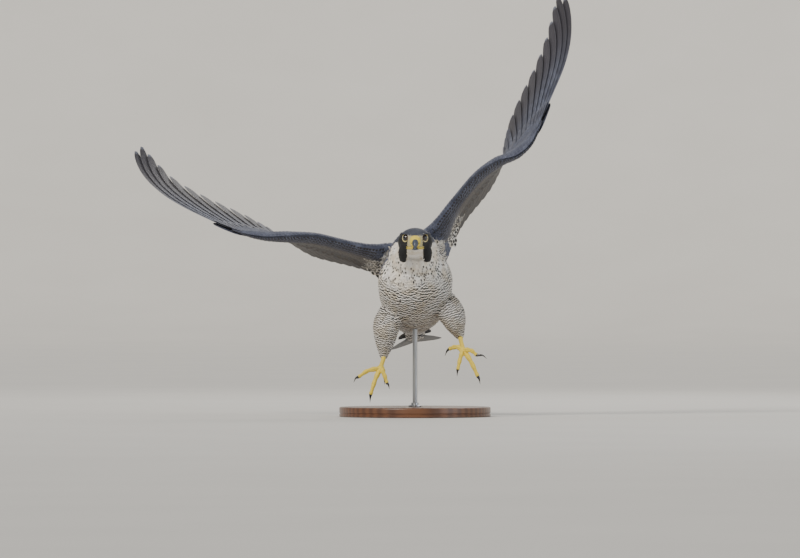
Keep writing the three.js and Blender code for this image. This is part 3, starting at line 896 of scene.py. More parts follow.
# Seen from the front, the height over which each shoulder is slate
SHOULDER_EDGE = {
    "right": through((-110, 258), (-82, 258), (-57, 264), (-41, 277), (-28, 288), (-14, 297), (0, 300)),
    "left": through((0, 300), (14, 299), (28, 296), (45, 290), (58, 304), (76, 334), (110, 390)),
}
# Seen from the front, the middle and reach of the mottled hollow under each wing root
MOTTLED = {"right": ((-62, 243), (18, 17)), "left": ((60, 296), (15, 32))}
# The moustache stripe's inner and rear edges by height, where it ends, and how far out it ends lowest
malar_inner = through((-44, 17), (-38, 14.5), (-30, 13.2), (-14, 12.4), (4, 12.2))
malar_rear = through((-46, -22), (-38, -17), (-28, -14), (-14, -10), (4, -9))
MALAR_END = -42
MALAR_MIDDLE = 18.5
# How far out the pale yellow between eye and bill reaches, by height
lore_edge = through((-20, 13), (-8, 13), (0, 12), (6, 9))


def face_marks(from_head, ragged):
    """Malar stripe with the black round the eye, and the pale yellow between eyes and bill."""
    x, forward, up = np.abs(from_head[:, 0]), -from_head[:, 1], from_head[:, 2]
    inside = np.minimum(x - malar_inner(up), forward - malar_rear(up)) + ragged * 0.3
    above_end = up - MALAR_END - 0.09 * (x - MALAR_MIDDLE) ** 2
    black = step_between(inside, -0.6, 0.7) * step_between(above_end, -0.6, 0.8) * step_between(up, 4, 1)
    round_eye = step_between(x, 10.8, 12.8) * step_between(forward, -2, 4) * step_between(up, 11, 6)
    black = np.maximum(black, 0.85 * round_eye * step_between(up, -8, -3))
    warm = step_between(x - lore_edge(up), 1, -1) * step_between(forward, 13, 19)
    return black, warm * step_between(up, -20, -16) * step_between(up, 8, 5)


def body_marks(points, random):
    """The plumage's marks at points of the body, the bars across a feather there, and the face's yellow."""
    head, _, thigh, sideways, along, upward = zones(points)
    from_head = points - HEAD_CENTRE
    forward, up = -from_head[:, 1], from_head[:, 2]
    ragged = random.normal(0, 1, len(points))
    facing = along_axis(surface_normals(points), BACKWARD)
    over_hood = up - hood_edge(forward) + ragged * 0.5
    over_flank = upward + FLANK_TURN * facing - flank_edge(along) + ragged * 1.2
    on_head = step_between(forward, -46, -24) * step_between(up, -46, -34)
    over = over_flank * (1 - on_head) + over_hood * on_head
    slate = np.maximum(step_between(over, -1, 1.5) * (1 - thigh), inside_wing(points))
    slate = np.maximum(slate, over_shoulder(points, ragged) * (1 - on_head))
    black, warm = face_marks(from_head, ragged)
    black = np.maximum(black, 0.55 * slate * on_head)
    pale = (1 - slate) * (1 - head)
    flank = np.maximum(np.abs(sideways) - 18, 0)
    barred = step_between(along + ragged * 4 + 0.15 * flank, 78, 58)
    barred = np.maximum(barred, thigh) * pale
    spotted = (1 - barred) * pale * step_between(along + ragged * 6 - 0.7 * flank, 112, 88)
    spotted *= step_between(random.uniform(0, 1, len(points)), 0.8 - 0.008 * flank, 0.35)
    root = wing_root_share(points) * pale * step_between(random.uniform(0, 1, len(points)), 0.85, 0.7)
    spotted = np.maximum(spotted, root)
    barred = barred * (1 - wing_root_share(points))
    marks = np.stack([slate, barred, spotted, black], axis=1)
    bars = 3.2 + 0.4 * random.uniform(0, 1, len(points)) + 0.3 * thigh
    return marks, bars, warm


def over_shoulder(points, ragged):
    """How far each point belongs to the slate of a shoulder, by its place seen from the front."""
    share = np.zeros(len(points))
    for side, edge in SHOULDER_EDGE.items():
        over = points[:, 2] - edge(points[:, 0]) + ragged * 0.5
        share = np.maximum(share, step_between(over, -1.5, 1.5) * (points[:, 0] * SIDES[side] > 0))
    return share


def wing_root_share(points):
    """How near each point is to the hollow under a wing's root, seen from the front."""
    share = np.zeros(len(points))
    for middle, reach in MOTTLED.values():
        away = np.linalg.norm((points[:, [0, 2]] - middle) / reach, axis=1)
        share = np.maximum(share, step_between(away, 1.25, 0.85))
    return share


def surface_normals(points):
    """The body skin's normals nearest to points."""
    skin = bpy.data.objects["skin"]
    surface = BVHTree.FromObject(skin, bpy.context.evaluated_depsgraph_get())
    return nearest_on(surface, points)[1]


def skin_samples(mesh, random, count):
    """Random points spread evenly over a mesh's area, with the normals of their faces."""
    mesh.calc_loop_triangles()
    triangles = np.empty(len(mesh.loop_triangles) * 3, np.int32)
    mesh.loop_triangles.foreach_get("vertices", triangles)
    flat = np.empty(len(mesh.vertices) * 3, np.float32)
    mesh.vertices.foreach_get("co", flat)
    a, b, c = (flat.reshape(-1, 3)[triangles.reshape(-1, 3)] / MM).transpose(1, 0, 2)
    crossed = np.cross(b - a, c - a)
    area = np.linalg.norm(crossed, axis=1)
    chosen = random.choice(len(area), count, p=area / area.sum())
    p, q = random.uniform(0, 1, (2, count))
    over = p + q > 1
    p, q = np.where(over, 1 - p, p)[:, None], np.where(over, 1 - q, q)[:, None]
    points = a[chosen] + (b - a)[chosen] * p + (c - a)[chosen] * q
    return points.astype(float), unit(crossed[chosen].astype(float))


def evenly(points, spacing):
    """The indices of points that keep their own spacing from each other, taken in order."""
    keys = np.floor(points / float(spacing.max())).astype(int)
    around = list(itertools.product((-1, 0, 1), repeat=3))
    cells = {}
    kept = []
    for i, ((x, y, z), (a, b, c), room) in enumerate(zip(points.tolist(), keys.tolist(), spacing.tolist())):
        limit = room * room
        near = (other for u, v, w in around for other in cells.get((a + u, b + v, c + w), ()))
        if all((x - p) ** 2 + (y - q) ** 2 + (z - r) ** 2 >= limit for p, q, r in near):
            kept.append(i)
            cells.setdefault((a, b, c), []).append((x, y, z))
    return np.array(kept)


def nearest_on(surface, points):
    """The nearest points of a surface and the normals there."""
    found = [surface.find_nearest(Vector(point)) for point in (points * MM).tolist()]
    places = np.array([hit[0] for hit in found]) / MM
    return places, np.array([hit[1] for hit in found])


def body_unwrap(points):
    """Each point's place on a flat unwrap of the body: round it against along it, thighs apart."""
    thigh = zones(points)[2]
    axis = FLOW_POINTS[:BODY_FLOW]
    nearest = np.linalg.norm(points[:, None] - axis, axis=-1).argmin(axis=1)
    off = points - axis[nearest]
    angle = np.arctan2(along_axis(off, BODY_LEFT), along_axis(off, BODY_UP)) / (2 * math.pi) + 0.5
    down = nearest / BODY_FLOW + along_axis(off, SPINE_FORWARD) * -0.0015
    body = np.stack([0.03 + 0.94 * angle, 0.3 + 0.66 * np.clip(down, 0, 1)], axis=1)
    leg = np.where(points[:, 0] > 0, 0.5, 0.0)
    hip = np.where(points[:, :1] > 0, joint("left", "hip"), joint("right", "hip"))
    turn = np.arctan2(points[:, 1] - hip[:, 1] + 8, points[:, 0] - hip[:, 0]) / (2 * math.pi) + 0.5
    height = np.clip((hip[:, 2] + 30 - points[:, 2]) / 140, 0, 1)
    legs = np.stack([0.03 + leg + 0.44 * turn, 0.03 + 0.24 * height], axis=1)
    return np.where(thigh[:, None] > 0.5, legs, body)


def clear_of_bare_parts(points):
    """Which points leave the eyes, the cere and the bill free of feathers."""
    free = np.ones(len(points), bool)
    for side in SIDES:
        away = points - eye_centre(side)
        depth = along_axis(away, eye_look(side))
        off = np.linalg.norm(away - depth[:, None] * eye_look(side), axis=1)
        free &= (off > LID_RADIUS + 1.0) | (depth < 0)
    from_head = points - HEAD_CENTRE
    forward, up = -from_head[:, 1], from_head[:, 2]
    free &= ~((forward > 27.5 + 0.12 * (up + 12)) & (up > -15))
    return free


# The space between the feathers' roots: on the head, less near the bill, the neck and the body, less on
# the thighs
HEAD_SPACING, BILL_LESS = 2.05, 0.7
NECK_SPACING = 3.4
BODY_SPACING, THIGH_LESS = 4.6, 0.9
# A feather's length and half width for each millimetre of its spacing
LENGTH_SHARE, NECK_LONGER = 3.3, 0.5
HALF_SHARE = 0.8
# Where the body's coat is parted into pieces, along the body and up from its middle
NECK_START = 72
VENT_END = -86
BACK_START = 4


def make_body_coat():
    """Feathers all over the skin, in pieces by region."""
    look = settings()
    random = np.random.default_rng(look.seed)
    skin = bpy.data.objects["skin"]
    surface = BVHTree.FromObject(skin, bpy.context.evaluated_depsgraph_get())
    points, normals = skin_samples(skin.data, random, look.samples)
    head, neck, thigh, *_ = zones(points)
    near_bill = step_between(-(points - HEAD_CENTRE)[:, 1], 2, 24)
    plain = 1 - head - neck * (1 - head)
    spacing = head * (HEAD_SPACING - BILL_LESS * near_bill) + neck * NECK_SPACING * (1 - head)
    spacing = spacing + plain * (BODY_SPACING - THIGH_LESS * thigh)
    keep = clear_of_bare_parts(points) & ~inside_wing(points)
    points, normals, spacing = points[keep], normals[keep], spacing[keep] * look.spacing
    chosen = evenly(points, spacing)
    points, normals, spacing = points[chosen], normals[chosen], spacing[chosen]
    head, neck, thigh, _, along, upward = zones(points)
    length = spacing * (LENGTH_SHARE + NECK_LONGER * neck) * random.uniform(0.9, 1.12, len(points))
    half = spacing * HALF_SHARE * random.uniform(0.92, 1.1, len(points))
    body = (head <= 0.5) & (thigh <= 0.5)
    trunk = body & (along <= NECK_START) & (along > VENT_END)
    groups = {
        "coat_head": head > 0.5,
        "coat_neck": body & (along > NECK_START),
        "coat_breast": trunk & (upward <= BACK_START),
        "coat_back": trunk & (upward > BACK_START),
        "coat_vent": body & (along <= VENT_END),
        "coat_thigh_right": (thigh > 0.5) & (points[:, 0] < 0) & (head <= 0.5),
        "coat_thigh_left": (thigh > 0.5) & (points[:, 0] >= 0) & (head <= 0.5),
    }
    for name, member in groups.items():
        tiny = name == "coat_head"
        rows, columns = (TINY_ROWS, TINY_COLUMNS) if tiny else (SMALL_ROWS, SMALL_COLUMNS)
        shape = (points[member], length[member], half[member])
        tops, ends = laid_feathers(surface, *shape, rows, columns, random)
        free = clear_of_bare_parts(ends)
        roots = points[member][free]
        marks, bars, warm = body_marks(roots + (ends[free] - roots) * SHOWN_SHARE, random)
        chance = random.uniform(0, 1, len(roots))
        tone = {"rows": bars, "warm": warm, "under": np.zeros(len(roots))}
        piece = coat_piece(name, tops[free], marks, body_unwrap(roots), chance, tone)
        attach(piece, BODY)
        "plumage_slate" if name in ("coat_back", "coat_head") else "plumage_breast"


def inside_wing(points):
    """Which points of the skin lie on the wings beyond their roots, where coverts grow instead."""
    beyond = np.zeros(len(points), bool)
    for side in SIDES:
        root = wing_place(side)(20.0, 30.0, 0.0)
        tip = wing_place(side)(60.0, 30.0, 0.0)
        beyond |= along_axis(points - root, unit(tip - root)) > 0
    return beyond


# How far a feather sways from the lie of the coat, how far its end stands off for its length, and how
# much its edges bend down for its width
SWAY = 0.09
STAND_OFF = 0.17
EDGE_DROP = 0.22


def laid_feathers(surface, roots, length, half, rows, columns, random):
    """The top points of feathers laid over a surface along the lie of the coat, and where they end."""
    place, normal = nearest_on(surface, roots)
    way = lie(place, normal)
    sway = random.normal(0, SWAY, len(roots))[:, None]
    way = unit(way + np.cross(normal, way) * sway)
    tops, before = [], 0.0
    for share in rows:
        place = place + way * (length * (share - before))[:, None]
        before = share
        place, normal = nearest_on(surface, place)
        way = unit(way * 0.5 + lie(place, normal))
        way = unit(way - normal * (way * normal).sum(axis=1, keepdims=True))
        side = np.cross(way, normal)
        height = length * (STAND_OFF * share - 0.03 + 0.05 * share * (1 - share))
        wide = half * small_web(share)
        edge = place[:, None] + side[:, None] * (wide[:, None] * columns)[..., None]
        drop = height[:, None] - (wide * EDGE_DROP)[:, None] * columns ** 2
        tops.append(edge + normal[:, None] * drop[..., None])
    return np.stack(tops, axis=1), place


# Wings


# Large feathers: how many, which way each points and how long it is
PRIMARIES = 10
SECONDARIES = 13
primary_bearing = through((0, 59), (3, 41), (6, 26), (9, 15.3))
primary_length = through((0, 148), (3, 184), (6, 234), (7, 248), (8, 253), (9, 238))
secondary_bearing = through((0, 63), (6, 79), (12, 95))
# A vane's thickness at its shaft, its curve across, and where its rows and columns of points lie
VANE_THICKNESS = 0.5
CAMBER = 0.0016
FLIGHT_ROWS = np.linspace(0, 1, 34) ** 0.9
FLIGHT_COLUMNS = np.array([-1, -0.8, -0.55, -0.3, -0.07, 0, 0.12, 0.5, 0.8, 1])
COVERT_ROWS = np.linspace(0, 1, 12) ** 0.85
COVERT_COLUMNS = np.array([-1, -0.7, -0.35, -0.05, 0.08, 0.5, 1])


def feather_rows(**fields):
    """Like feathers as one table of arrays, all of one length."""
    count = max(np.size(value) for value in fields.values())
    return {name: np.broadcast_to(np.asarray(value, float), (count,)) for name, value in fields.items()}


def merge_rows(*tables):
    return {name: np.concatenate([table[name] for table in tables]) for name in tables[0]}


def primaries():
    i = np.arange(PRIMARIES)
    return feather_rows(u=WRIST + 6 + 7 * i, v=8, bearing=primary_bearing(i), length=primary_length(i),
                        lead=6.5, trail=27 - 0.8 * i, lift=0, tip=0, tilt=0.14, bars=13, dark=1, fade=0.62)


def secondaries():
    i = np.arange(SECONDARIES)
    return feather_rows(u=WRIST - 4 - 10.5 * i, v=14, bearing=secondary_bearing(i),
                        length=130 - 2 * i - 0.09 * i * i, lead=10, trail=20, lift=0, tip=0, tilt=0.1,
                        bars=9, dark=0.45, fade=0.8)


def greater_coverts(surface):
    """The long coverts over the flight feathers, above with surface 1 or below with surface -1."""
    i, j = np.arange(PRIMARIES - 1), np.arange(SECONDARIES)
    lift = 2.6 if surface > 0 else 4.4
    hand = feather_rows(u=WRIST + 6 + 7.6 * i, v=5, bearing=primary_bearing(i + 0.4) + 2,
                        length=84 - 3 * i, lead=6, trail=10, lift=lift, tip=lift - 0.4, tilt=0.1 * surface,
                        bars=6, dark=0.35, fade=0.6)
    arm = feather_rows(u=WRIST - 5 - 10.6 * j, v=22, bearing=secondary_bearing(j) + 2,
                       length=64 - 0.8 * j, lead=9, trail=10, lift=lift + 0.5, tip=lift, tilt=0.1 * surface,
                       bars=5, dark=0.15, fade=0.8)
    return merge_rows(hand, arm)


def thumb_feathers():
    i = np.arange(4)
    return feather_rows(u=WRIST - 6 + 4 * i, v=-5 + 2 * i, bearing=27 - 3 * i, length=28 + 6 * i,
                        lead=3.2, trail=6.5, lift=4 - 0.5 * i, tip=2.6 - 0.5 * i, tilt=0.1, bars=5,
                        dark=0.15, fade=0.5)


def blade_points(place, table, rows, columns):
    """Top and underside points of large feathers in a flat plan, and each point's shares and tone."""
    field = {name: value[:, None, None] for name, value in table.items()}
    share = rows[None, :, None]
    column = columns[None, None, :]
    side = np.where(column >= 0, 1, -1)
    turn = np.radians(field["bearing"])
    web = np.where(column >= 0, field["lead"], field["trail"])
    across = np.abs(column) * web * flight_web(share)
    outward = field["u"] + np.cos(turn) * field["length"] * share + side * np.sin(turn) * across
    back = field["v"] + np.sin(turn) * field["length"] * share - side * np.cos(turn) * across
    level = field["lift"] + (field["tip"] - field["lift"]) * share + side * field["tilt"] * across
    level = level - CAMBER * across ** 2
    ridge = 0.35 * (np.abs(column) < 0.1) * (1 - share)
    half = VANE_THICKNESS / 2 * (1 - 0.5 * share) * (1 - 0.6 * np.abs(column)) + ridge
    top = place(outward, back, level + half)
    low = place(outward, back, level - half)
    return top, low


def vane_strips(count, rows, columns, top_side):
    """A flat unwrap of large feathers for baking: each lies in its own strip, underside beside top."""
    share = np.broadcast_to(rows[None, :, None], (count, len(rows), len(columns)))
    column = np.broadcast_to((columns + 1) / 2, share.shape)
    wide = 1 / count
    start = np.arange(count)[:, None, None] * wide
    low = 0.01 if top_side else 0.51
    return np.stack([start + wide * (0.05 + 0.9 * column), low + 0.48 * share], axis=-1)


def blade_piece(name, places, table, rows, columns, turned, random):
    """A piece of large feathers."""
    top, low = blade_points(places, table, rows, columns)
    count = len(top)
    shape = top.shape[:3]
    share = np.broadcast_to(rows[None, :, None], shape)
    column = np.broadcast_to(columns, shape)
    chance = spread_over(random.uniform(0, 1, count), shape)
    tone = spread_over(table["dark"], shape) * step_between(share, spread_over(table["fade"], shape) - 0.25,
                                                            spread_over(table["fade"], shape) + 0.2)
    vane = np.stack([column, share, chance], axis=-1)
    both = {
        "vane": np.stack([vane, vane], axis=1).reshape(-1, 3),
        "rows": np.stack([spread_over(table["bars"], shape)] * 2, axis=1).reshape(-1),
        "dark": np.stack([tone, tone], axis=1).reshape(-1),
        "under": np.stack([np.zeros(shape), np.ones(shape)], axis=1).reshape(-1),
    }
    points = np.stack([top, low], axis=1).reshape(-1, 3)
    bake = np.stack([vane_strips(count, rows, columns, top_side) for top_side in (True, False)], axis=1)
    polygons = blade_faces(count, len(rows), len(columns), turned)
    return mesh_object(name, points, polygons, flight_material(), both, bake.reshape(-1, 2), 55)


COVERT_TIERS = 13
# How far out the mottled coverts under each wing reach, and the share of the wing's depth before them
ROOT_REACH = {"right": (24, 6), "left": (52, 28)}
ROOT_FRONT = {"right": 0.2, "left": 0.5}


def small_coverts(side, surface, random):
    """The small feathers on one surface of a wing: rows from the leading edge to the long coverts."""
    place = wing_place(side)
    tables = []
    for row in range(COVERT_TIERS):
        share = (row + 0.15) / (COVERT_TIERS - 0.5)
        reach = np.arange(-4, 236 - 2 * row, 5.2 + 0.25 * row)
        u = reach + (row % 2) * (2.6 + 0.12 * row) + random.normal(0, 0.5, len(reach))
        rear = wing_rear(u) * 0.92
        v = wing_lead(u) + (rear - wing_lead(u)) * share + random.normal(0, 0.4, len(u))
        inner = secondary_bearing((WRIST - u) / 11.5)
        outer = primary_bearing((u - WRIST) / 8.5) + 4
        bearing = np.where(u < WRIST, inner, outer) - 14 * (1 - share) + random.normal(0, 3, len(u))
        length = (9 + 13 * share) * random.uniform(0.92, 1.1, len(u))
        tables.append(feather_rows(u=u, v=v, bearing=bearing, length=length, half=3.4 + 2.2 * share,
                                   share=share))
    table = merge_rows(*tables)
    field = {name: value[:, None, None] for name, value in table.items()}
    share = SMALL_ROWS[None, :, None]
    column = SMALL_COLUMNS[None, None, :]
    turn = np.radians(field["bearing"])
    across = column * field["half"] * small_web(share)
    outward = field["u"] + np.cos(turn) * field["length"] * share + np.sin(turn) * across
    back = field["v"] + np.sin(turn) * field["length"] * share - np.cos(turn) * across
    lead = wing_lead(outward)
    back = np.maximum(back, lead + 0.3)
    least = 1.6 if surface > 0 else 3.0
    height = np.maximum(flesh_height(outward, back) - 0.5, least * step_between(back - lead, 0, 14))
    height = height + 0.13 * field["length"] * share - 0.05 * field["half"] * column ** 2
    tops = place(outward, back, surface * height)
    count = len(tops)
    near = step_between(table["u"] + random.normal(0, 4, count), *ROOT_REACH[side])
    behind, ahead = ROOT_FRONT[side] + 0.1, ROOT_FRONT[side] - 0.1
    near = near * step_between(table["share"], ahead, behind)
    edge = step_between(table["share"], 0.3, 0.12)
    root_edge = step_between(table["u"], 60, 30) * step_between(table["share"], behind, ahead)
    edge = np.maximum(edge, root_edge)
    marks = np.zeros((count, 4))
    tone = {"rows": np.full(count, 2.4), "under": np.zeros(count)}
    if surface > 0:
        marks[:, 0] = 1
        marks[:, 1] = 0.3
    else:
        marks[:, 0] = edge
        marks[:, 1] = 0.95 - 0.6 * near
        marks[:, 2] = near
        # Away from the mottled root the under coverts take the dark lining colours: painted shade over
        # their real barring.
        tone["under"] = 1 - near
    name = f"coverts_{'upper' if surface > 0 else 'under'}_{side}"
    unwrap = np.stack([0.05 + 0.9 * (table["u"] + 40) / 300, 0.1 + 0.8 * (table["v"] + 20) / 110], axis=1)
    chance = random.uniform(0, 1, count)
    return coat_piece(name, tops, marks, unwrap, chance, tone, SIDES[side] * surface < 0)


def make_wing(side):
    random = np.random.default_rng(settings().seed + 10 + SIDES[side])
    place = wing_place(side)
    turned = SIDES[side] < 0
    flight = merge_rows(primaries(), secondaries())
    blades = blade_piece(f"flight_{side}", place, flight, FLIGHT_ROWS, FLIGHT_COLUMNS, turned, random)
    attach(blades, BODY)
    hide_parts(f"wing_{side}")
    upper = merge_rows(greater_coverts(1), thumb_feathers())
    under = greater_coverts(-1)
    under["lift"], under["tip"] = -under["lift"], -under["tip"]
    for name, table in ((f"long_coverts_upper_{side}", upper), (f"long_coverts_under_{side}", under)):
        piece = blade_piece(name, place, table, COVERT_ROWS, COVERT_COLUMNS, turned, random)
        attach(piece, BODY)
    for surface in (1, -1):
        piece = small_coverts(side, surface, random)
        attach(piece, BODY)


# Tail


def tail_feathers(sign):
    i = np.arange(RECTRICES)
    lift = np.where(i > 0, -TIER * (i + 1), TIER * 0.5 * (sign - 1))
    length = TAIL_LENGTH - 4 - 0.5 * i * i
    return feather_rows(u=2.2 + 1.6 * i, v=4, bearing=89 - 1.9 * i, length=length, lead=11,
                        trail=np.where(i > 0, 10, 9), lift=lift, tip=lift, tilt=0, bars=12, dark=0.5,
                        fade=0.9)


def tail_coverts():
    """The long feathers over the root of the tail: column i out from its middle, row j from the front."""
    i, j = np.meshgrid(np.arange(5), np.arange(4))
    i, j = i.ravel(), j.ravel()
    return feather_rows(u=1.5 + 3.4 * i, v=-6 + 11 * j, bearing=88 - 3 * i, length=46 - 3 * i, lead=6.5,
                        trail=5, lift=4.6 - 0.8 * j, tip=2.2 - 0.3 * i, tilt=0, bars=6, dark=0, fade=0.8)


def make_tail():
    random = np.random.default_rng(settings().seed + 30)
    for side, sign in SIDES.items():
        place = tail_place(sign)
        turned = sign < 0
        long = blade_piece(f"tail_{side}", place, tail_feathers(sign), FLIGHT_ROWS, FLIGHT_COLUMNS,
                           turned, random)
        coverts = blade_piece(f"tail_coverts_{side}", place, tail_coverts(), COVERT_ROWS, COVERT_COLUMNS,
                              turned, random)
        for piece in (long, coverts):
            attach(piece, BODY)
        if side == "right":
            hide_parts("tail")


# Head: eyes, lids, cere and bill


def make_eye_finish(name):
    look = settings()
    finish = Finish(name, Roughness=0.06, Coat_Weight=1.0, Coat_Roughness=0.02, IOR=1.45)
    facing = finish.attribute("facing")
    iris = finish.mix(finish.noise(1400.0, 3.0).between(0.3, 0.7), look.iris, look.iris_light)
    colour = finish.mix(facing.between(0.86, 0.89), iris, (0.002, 0.002, 0.003, 1))
    colour = finish.mix(facing.between(0.66, 0.6), colour, (0.004, 0.003, 0.003, 1))
    finish.feed("Base Color", colour)
    return finish


def make_bare_skin(name):
    """The waxy yellow skin of cere, toes and shanks."""
    look = settings()
    finish = Finish(name, Roughness=0.42, Subsurface_Weight=0.08, Subsurface_Scale=0.002)
    tone = finish.noise(120.0, 3.0)
    colour = finish.mix(tone.between(0.3, 0.75), look.yellow, look.yellow_pale)
    colour = finish.mix(finish.noise(420.0, 4.0, 0.6).between(0.6, 0.8) * 0.35, colour, look.yellow_deep)
    finish.feed("Base Color", colour)
    cells = finish.node("ShaderNodeTexVoronoi", {"feature": "DISTANCE_TO_EDGE"},
                        {"Vector": finish.position(), "Scale": 900.0})
    finish.bump(cells.between(0.0, 0.25) + finish.noise(1500.0, 2.0) * 0.4, 0.4, 0.0003)
    return finish


def make_lid_finish(name):
    """The pale bare rim of the eyelids."""
    look = settings()
    finish = Finish(name, Roughness=0.38)
    finish.feed("Base Color", finish.mix(finish.noise(500.0), look.lid_pale, look.yellow_pale))
    finish.bump(finish.noise(1500.0, 2.0), 0.2, 0.0002)
    return finish


def make_horn(name):
    """The bill: slate blue, paler at the cere and black at the tip."""
    look = settings()
    finish = Finish(name, Roughness=0.28, Coat_Weight=0.4, Coat_Roughness=0.15)
    tip = finish.attribute("tip")
    colour = finish.mix(tip.between(0.0, 0.35), look.horn_pale, look.horn)
    colour = finish.mix(tip.between(0.45, 0.95), colour, look.horn_dark)
    grain = finish.noise(260.0, 3.0)
    colour = finish.mix(grain.between(0.55, 0.8) * 0.3, colour, look.horn_pale)
    finish.feed("Base Color", colour)
    finish.bump(grain + finish.noise(1600.0, 2.0) * 0.3, 0.15, 0.0003)
    return finish


def make_claw_finish(name):
    look = settings()
    finish = Finish(name, Roughness=0.22, Coat_Weight=0.6, Coat_Roughness=0.1)
    tip = finish.attribute("tip")
    colour = finish.mix(tip.between(0.0, 0.5), look.claw_base, look.claw)
    mottle = finish.noise(300.0).between(0.5, 0.9) * 0.3
    finish.feed("Base Color", finish.mix(mottle, colour, look.claw_base))
    finish.bump(finish.noise(700.0, 4.0), 0.12, 0.0003)
    return finish


def make_eyes():
    eye_finish = made_once("eye_glass", make_eye_finish)
    lid_finish = made_once("eyelid", make_lid_finish)
    for side in SIDES:
        look = eye_look(side)
        centre = eye_centre(side)
        flank = unit(np.cross(look, (0, 0, 1)))
        rise = np.cross(flank, look)
        polar = np.linspace(0.02, math.pi - 0.02, 40)
        bulge = EYE_RADIUS + 0.7 * np.exp(-(polar / 0.55) ** 2)
        rings = [ring(centre + look * bulge[i] * math.cos(a), flank * bulge[i] * math.sin(a),
                      rise * bulge[i] * math.sin(a), 48) for i, a in enumerate(polar)]
        points, polygons = tube(rings)
        facing = along_axis(unit(points - centre), look)
        eye = mesh_object(f"eyeball_{side}", points, polygons, eye_finish, {"facing": facing})
        outward_faces(eye)
        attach(eye, BODY)
        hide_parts(f"eye_{side}")
        lids = lid_ring(side, centre, look, flank, rise, lid_finish)
        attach(lids, BODY)


def lid_ring(side, centre, look, flank, rise, finish):
    """The bare ring of lids round an eye, wider below and in front, beaded along its edge."""
    angles = np.linspace(0, 2 * math.pi, 97)[:-1]
    section = 2 * math.pi * np.arange(14) / 14
    inward = -SIDES[side] * np.cos(angles)
    opening = LID_RADIUS - 0.35 + 0.3 * np.cos(2 * angles)
    wide = 0.42 + 0.2 * np.maximum(inward, 0) + 0.42 * np.maximum(-np.sin(angles), 0)
    bead = 1 + 0.07 * np.sin(angles * 22)
    outer = opening + wide * 0.7
    hold = np.sqrt(np.maximum(EYE_RADIUS ** 2 - opening ** 2, 0)) + 0.1
    around = flank * np.cos(angles)[:, None] + rise * np.sin(angles)[:, None]
    base = centre + around * outer[:, None] + look * hold[:, None]
    spread = around[:, None] * (np.cos(section) * (wide * bead)[:, None])[..., None]
    height = np.sin(section) * (0.8 * bead)[:, None] - 0.5 * np.cos(section) * wide[:, None]
    stand = look * height[..., None]
    grid = base[:, None] + spread + stand
    index = np.arange(grid.shape[0] * grid.shape[1]).reshape(grid.shape[:2])
    down, over = np.roll(index, -1, axis=0), np.roll(index, -1, axis=1)
    both = np.roll(down, -1, axis=1)
    quads = np.stack([index, over, both, down], axis=-1).reshape(-1, 4)
    piece = mesh_object(f"eyelids_{side}", grid.reshape(-1, 3), [quads], finish)
    outward_faces(piece)
    return piece


# Bill sections by their culmen, their cutting edge and their half width, as forward and up from the head
BILL_TOP = [(27, 3.5), (32, 3.4), (36, 1.6), (39.5, -2.2), (42.8, -6), (45, -10.5), (46, -15), (45.6, -20)]
BILL_EDGE = [(25, -15), (30, -15.2), (33.5, -15.4), (37, -15.4), (39.6, -16.4), (41.6, -16.6), (43.2, -18),
             (44.8, -20.2)]
BILL_HALF = [8.8, 8.6, 7.8, 5.2, 3.4, 2.5, 1.7, 0.5]
CERE_END = 3


def bill_rings(first, last, steps, sides, swell=0.0):
    """Rings over a stretch of the bill, with a tooth on the cutting edge."""
    top = [through(*enumerate(values)) for values in zip(*BILL_TOP)]
    edge = [through(*enumerate(values)) for values in zip(*BILL_EDGE)]
    half = through(*enumerate(BILL_HALF))
    rings = []
    for s in np.linspace(first, last, steps):
        high = head_point(0, top[0](s), top[1](s))
        low = head_point(0, edge[0](s), edge[1](s))
        wide = half(s) + swell
        middle, up = (high + low) / 2, (high - low) / 2
        angles = 2 * math.pi * (np.arange(sides) + 0.5) / sides
        sideways = np.sign(np.cos(angles)) * np.abs(np.cos(angles)) ** 0.8
        upward = np.sign(np.sin(angles)) * np.abs(np.sin(angles)) ** 0.85
        tooth = 0.9 * math.exp(-((s - 4.1) / 0.25) ** 2) * (upward < -0.3) * np.abs(sideways)
        length = np.linalg.norm(up)
        grown = up * (1 + swell / length)
        points = middle + sideways[:, None] * ACROSS * wide + upward[:, None] * grown
        points[:, 2] -= tooth
        rings.append(points)
    return rings


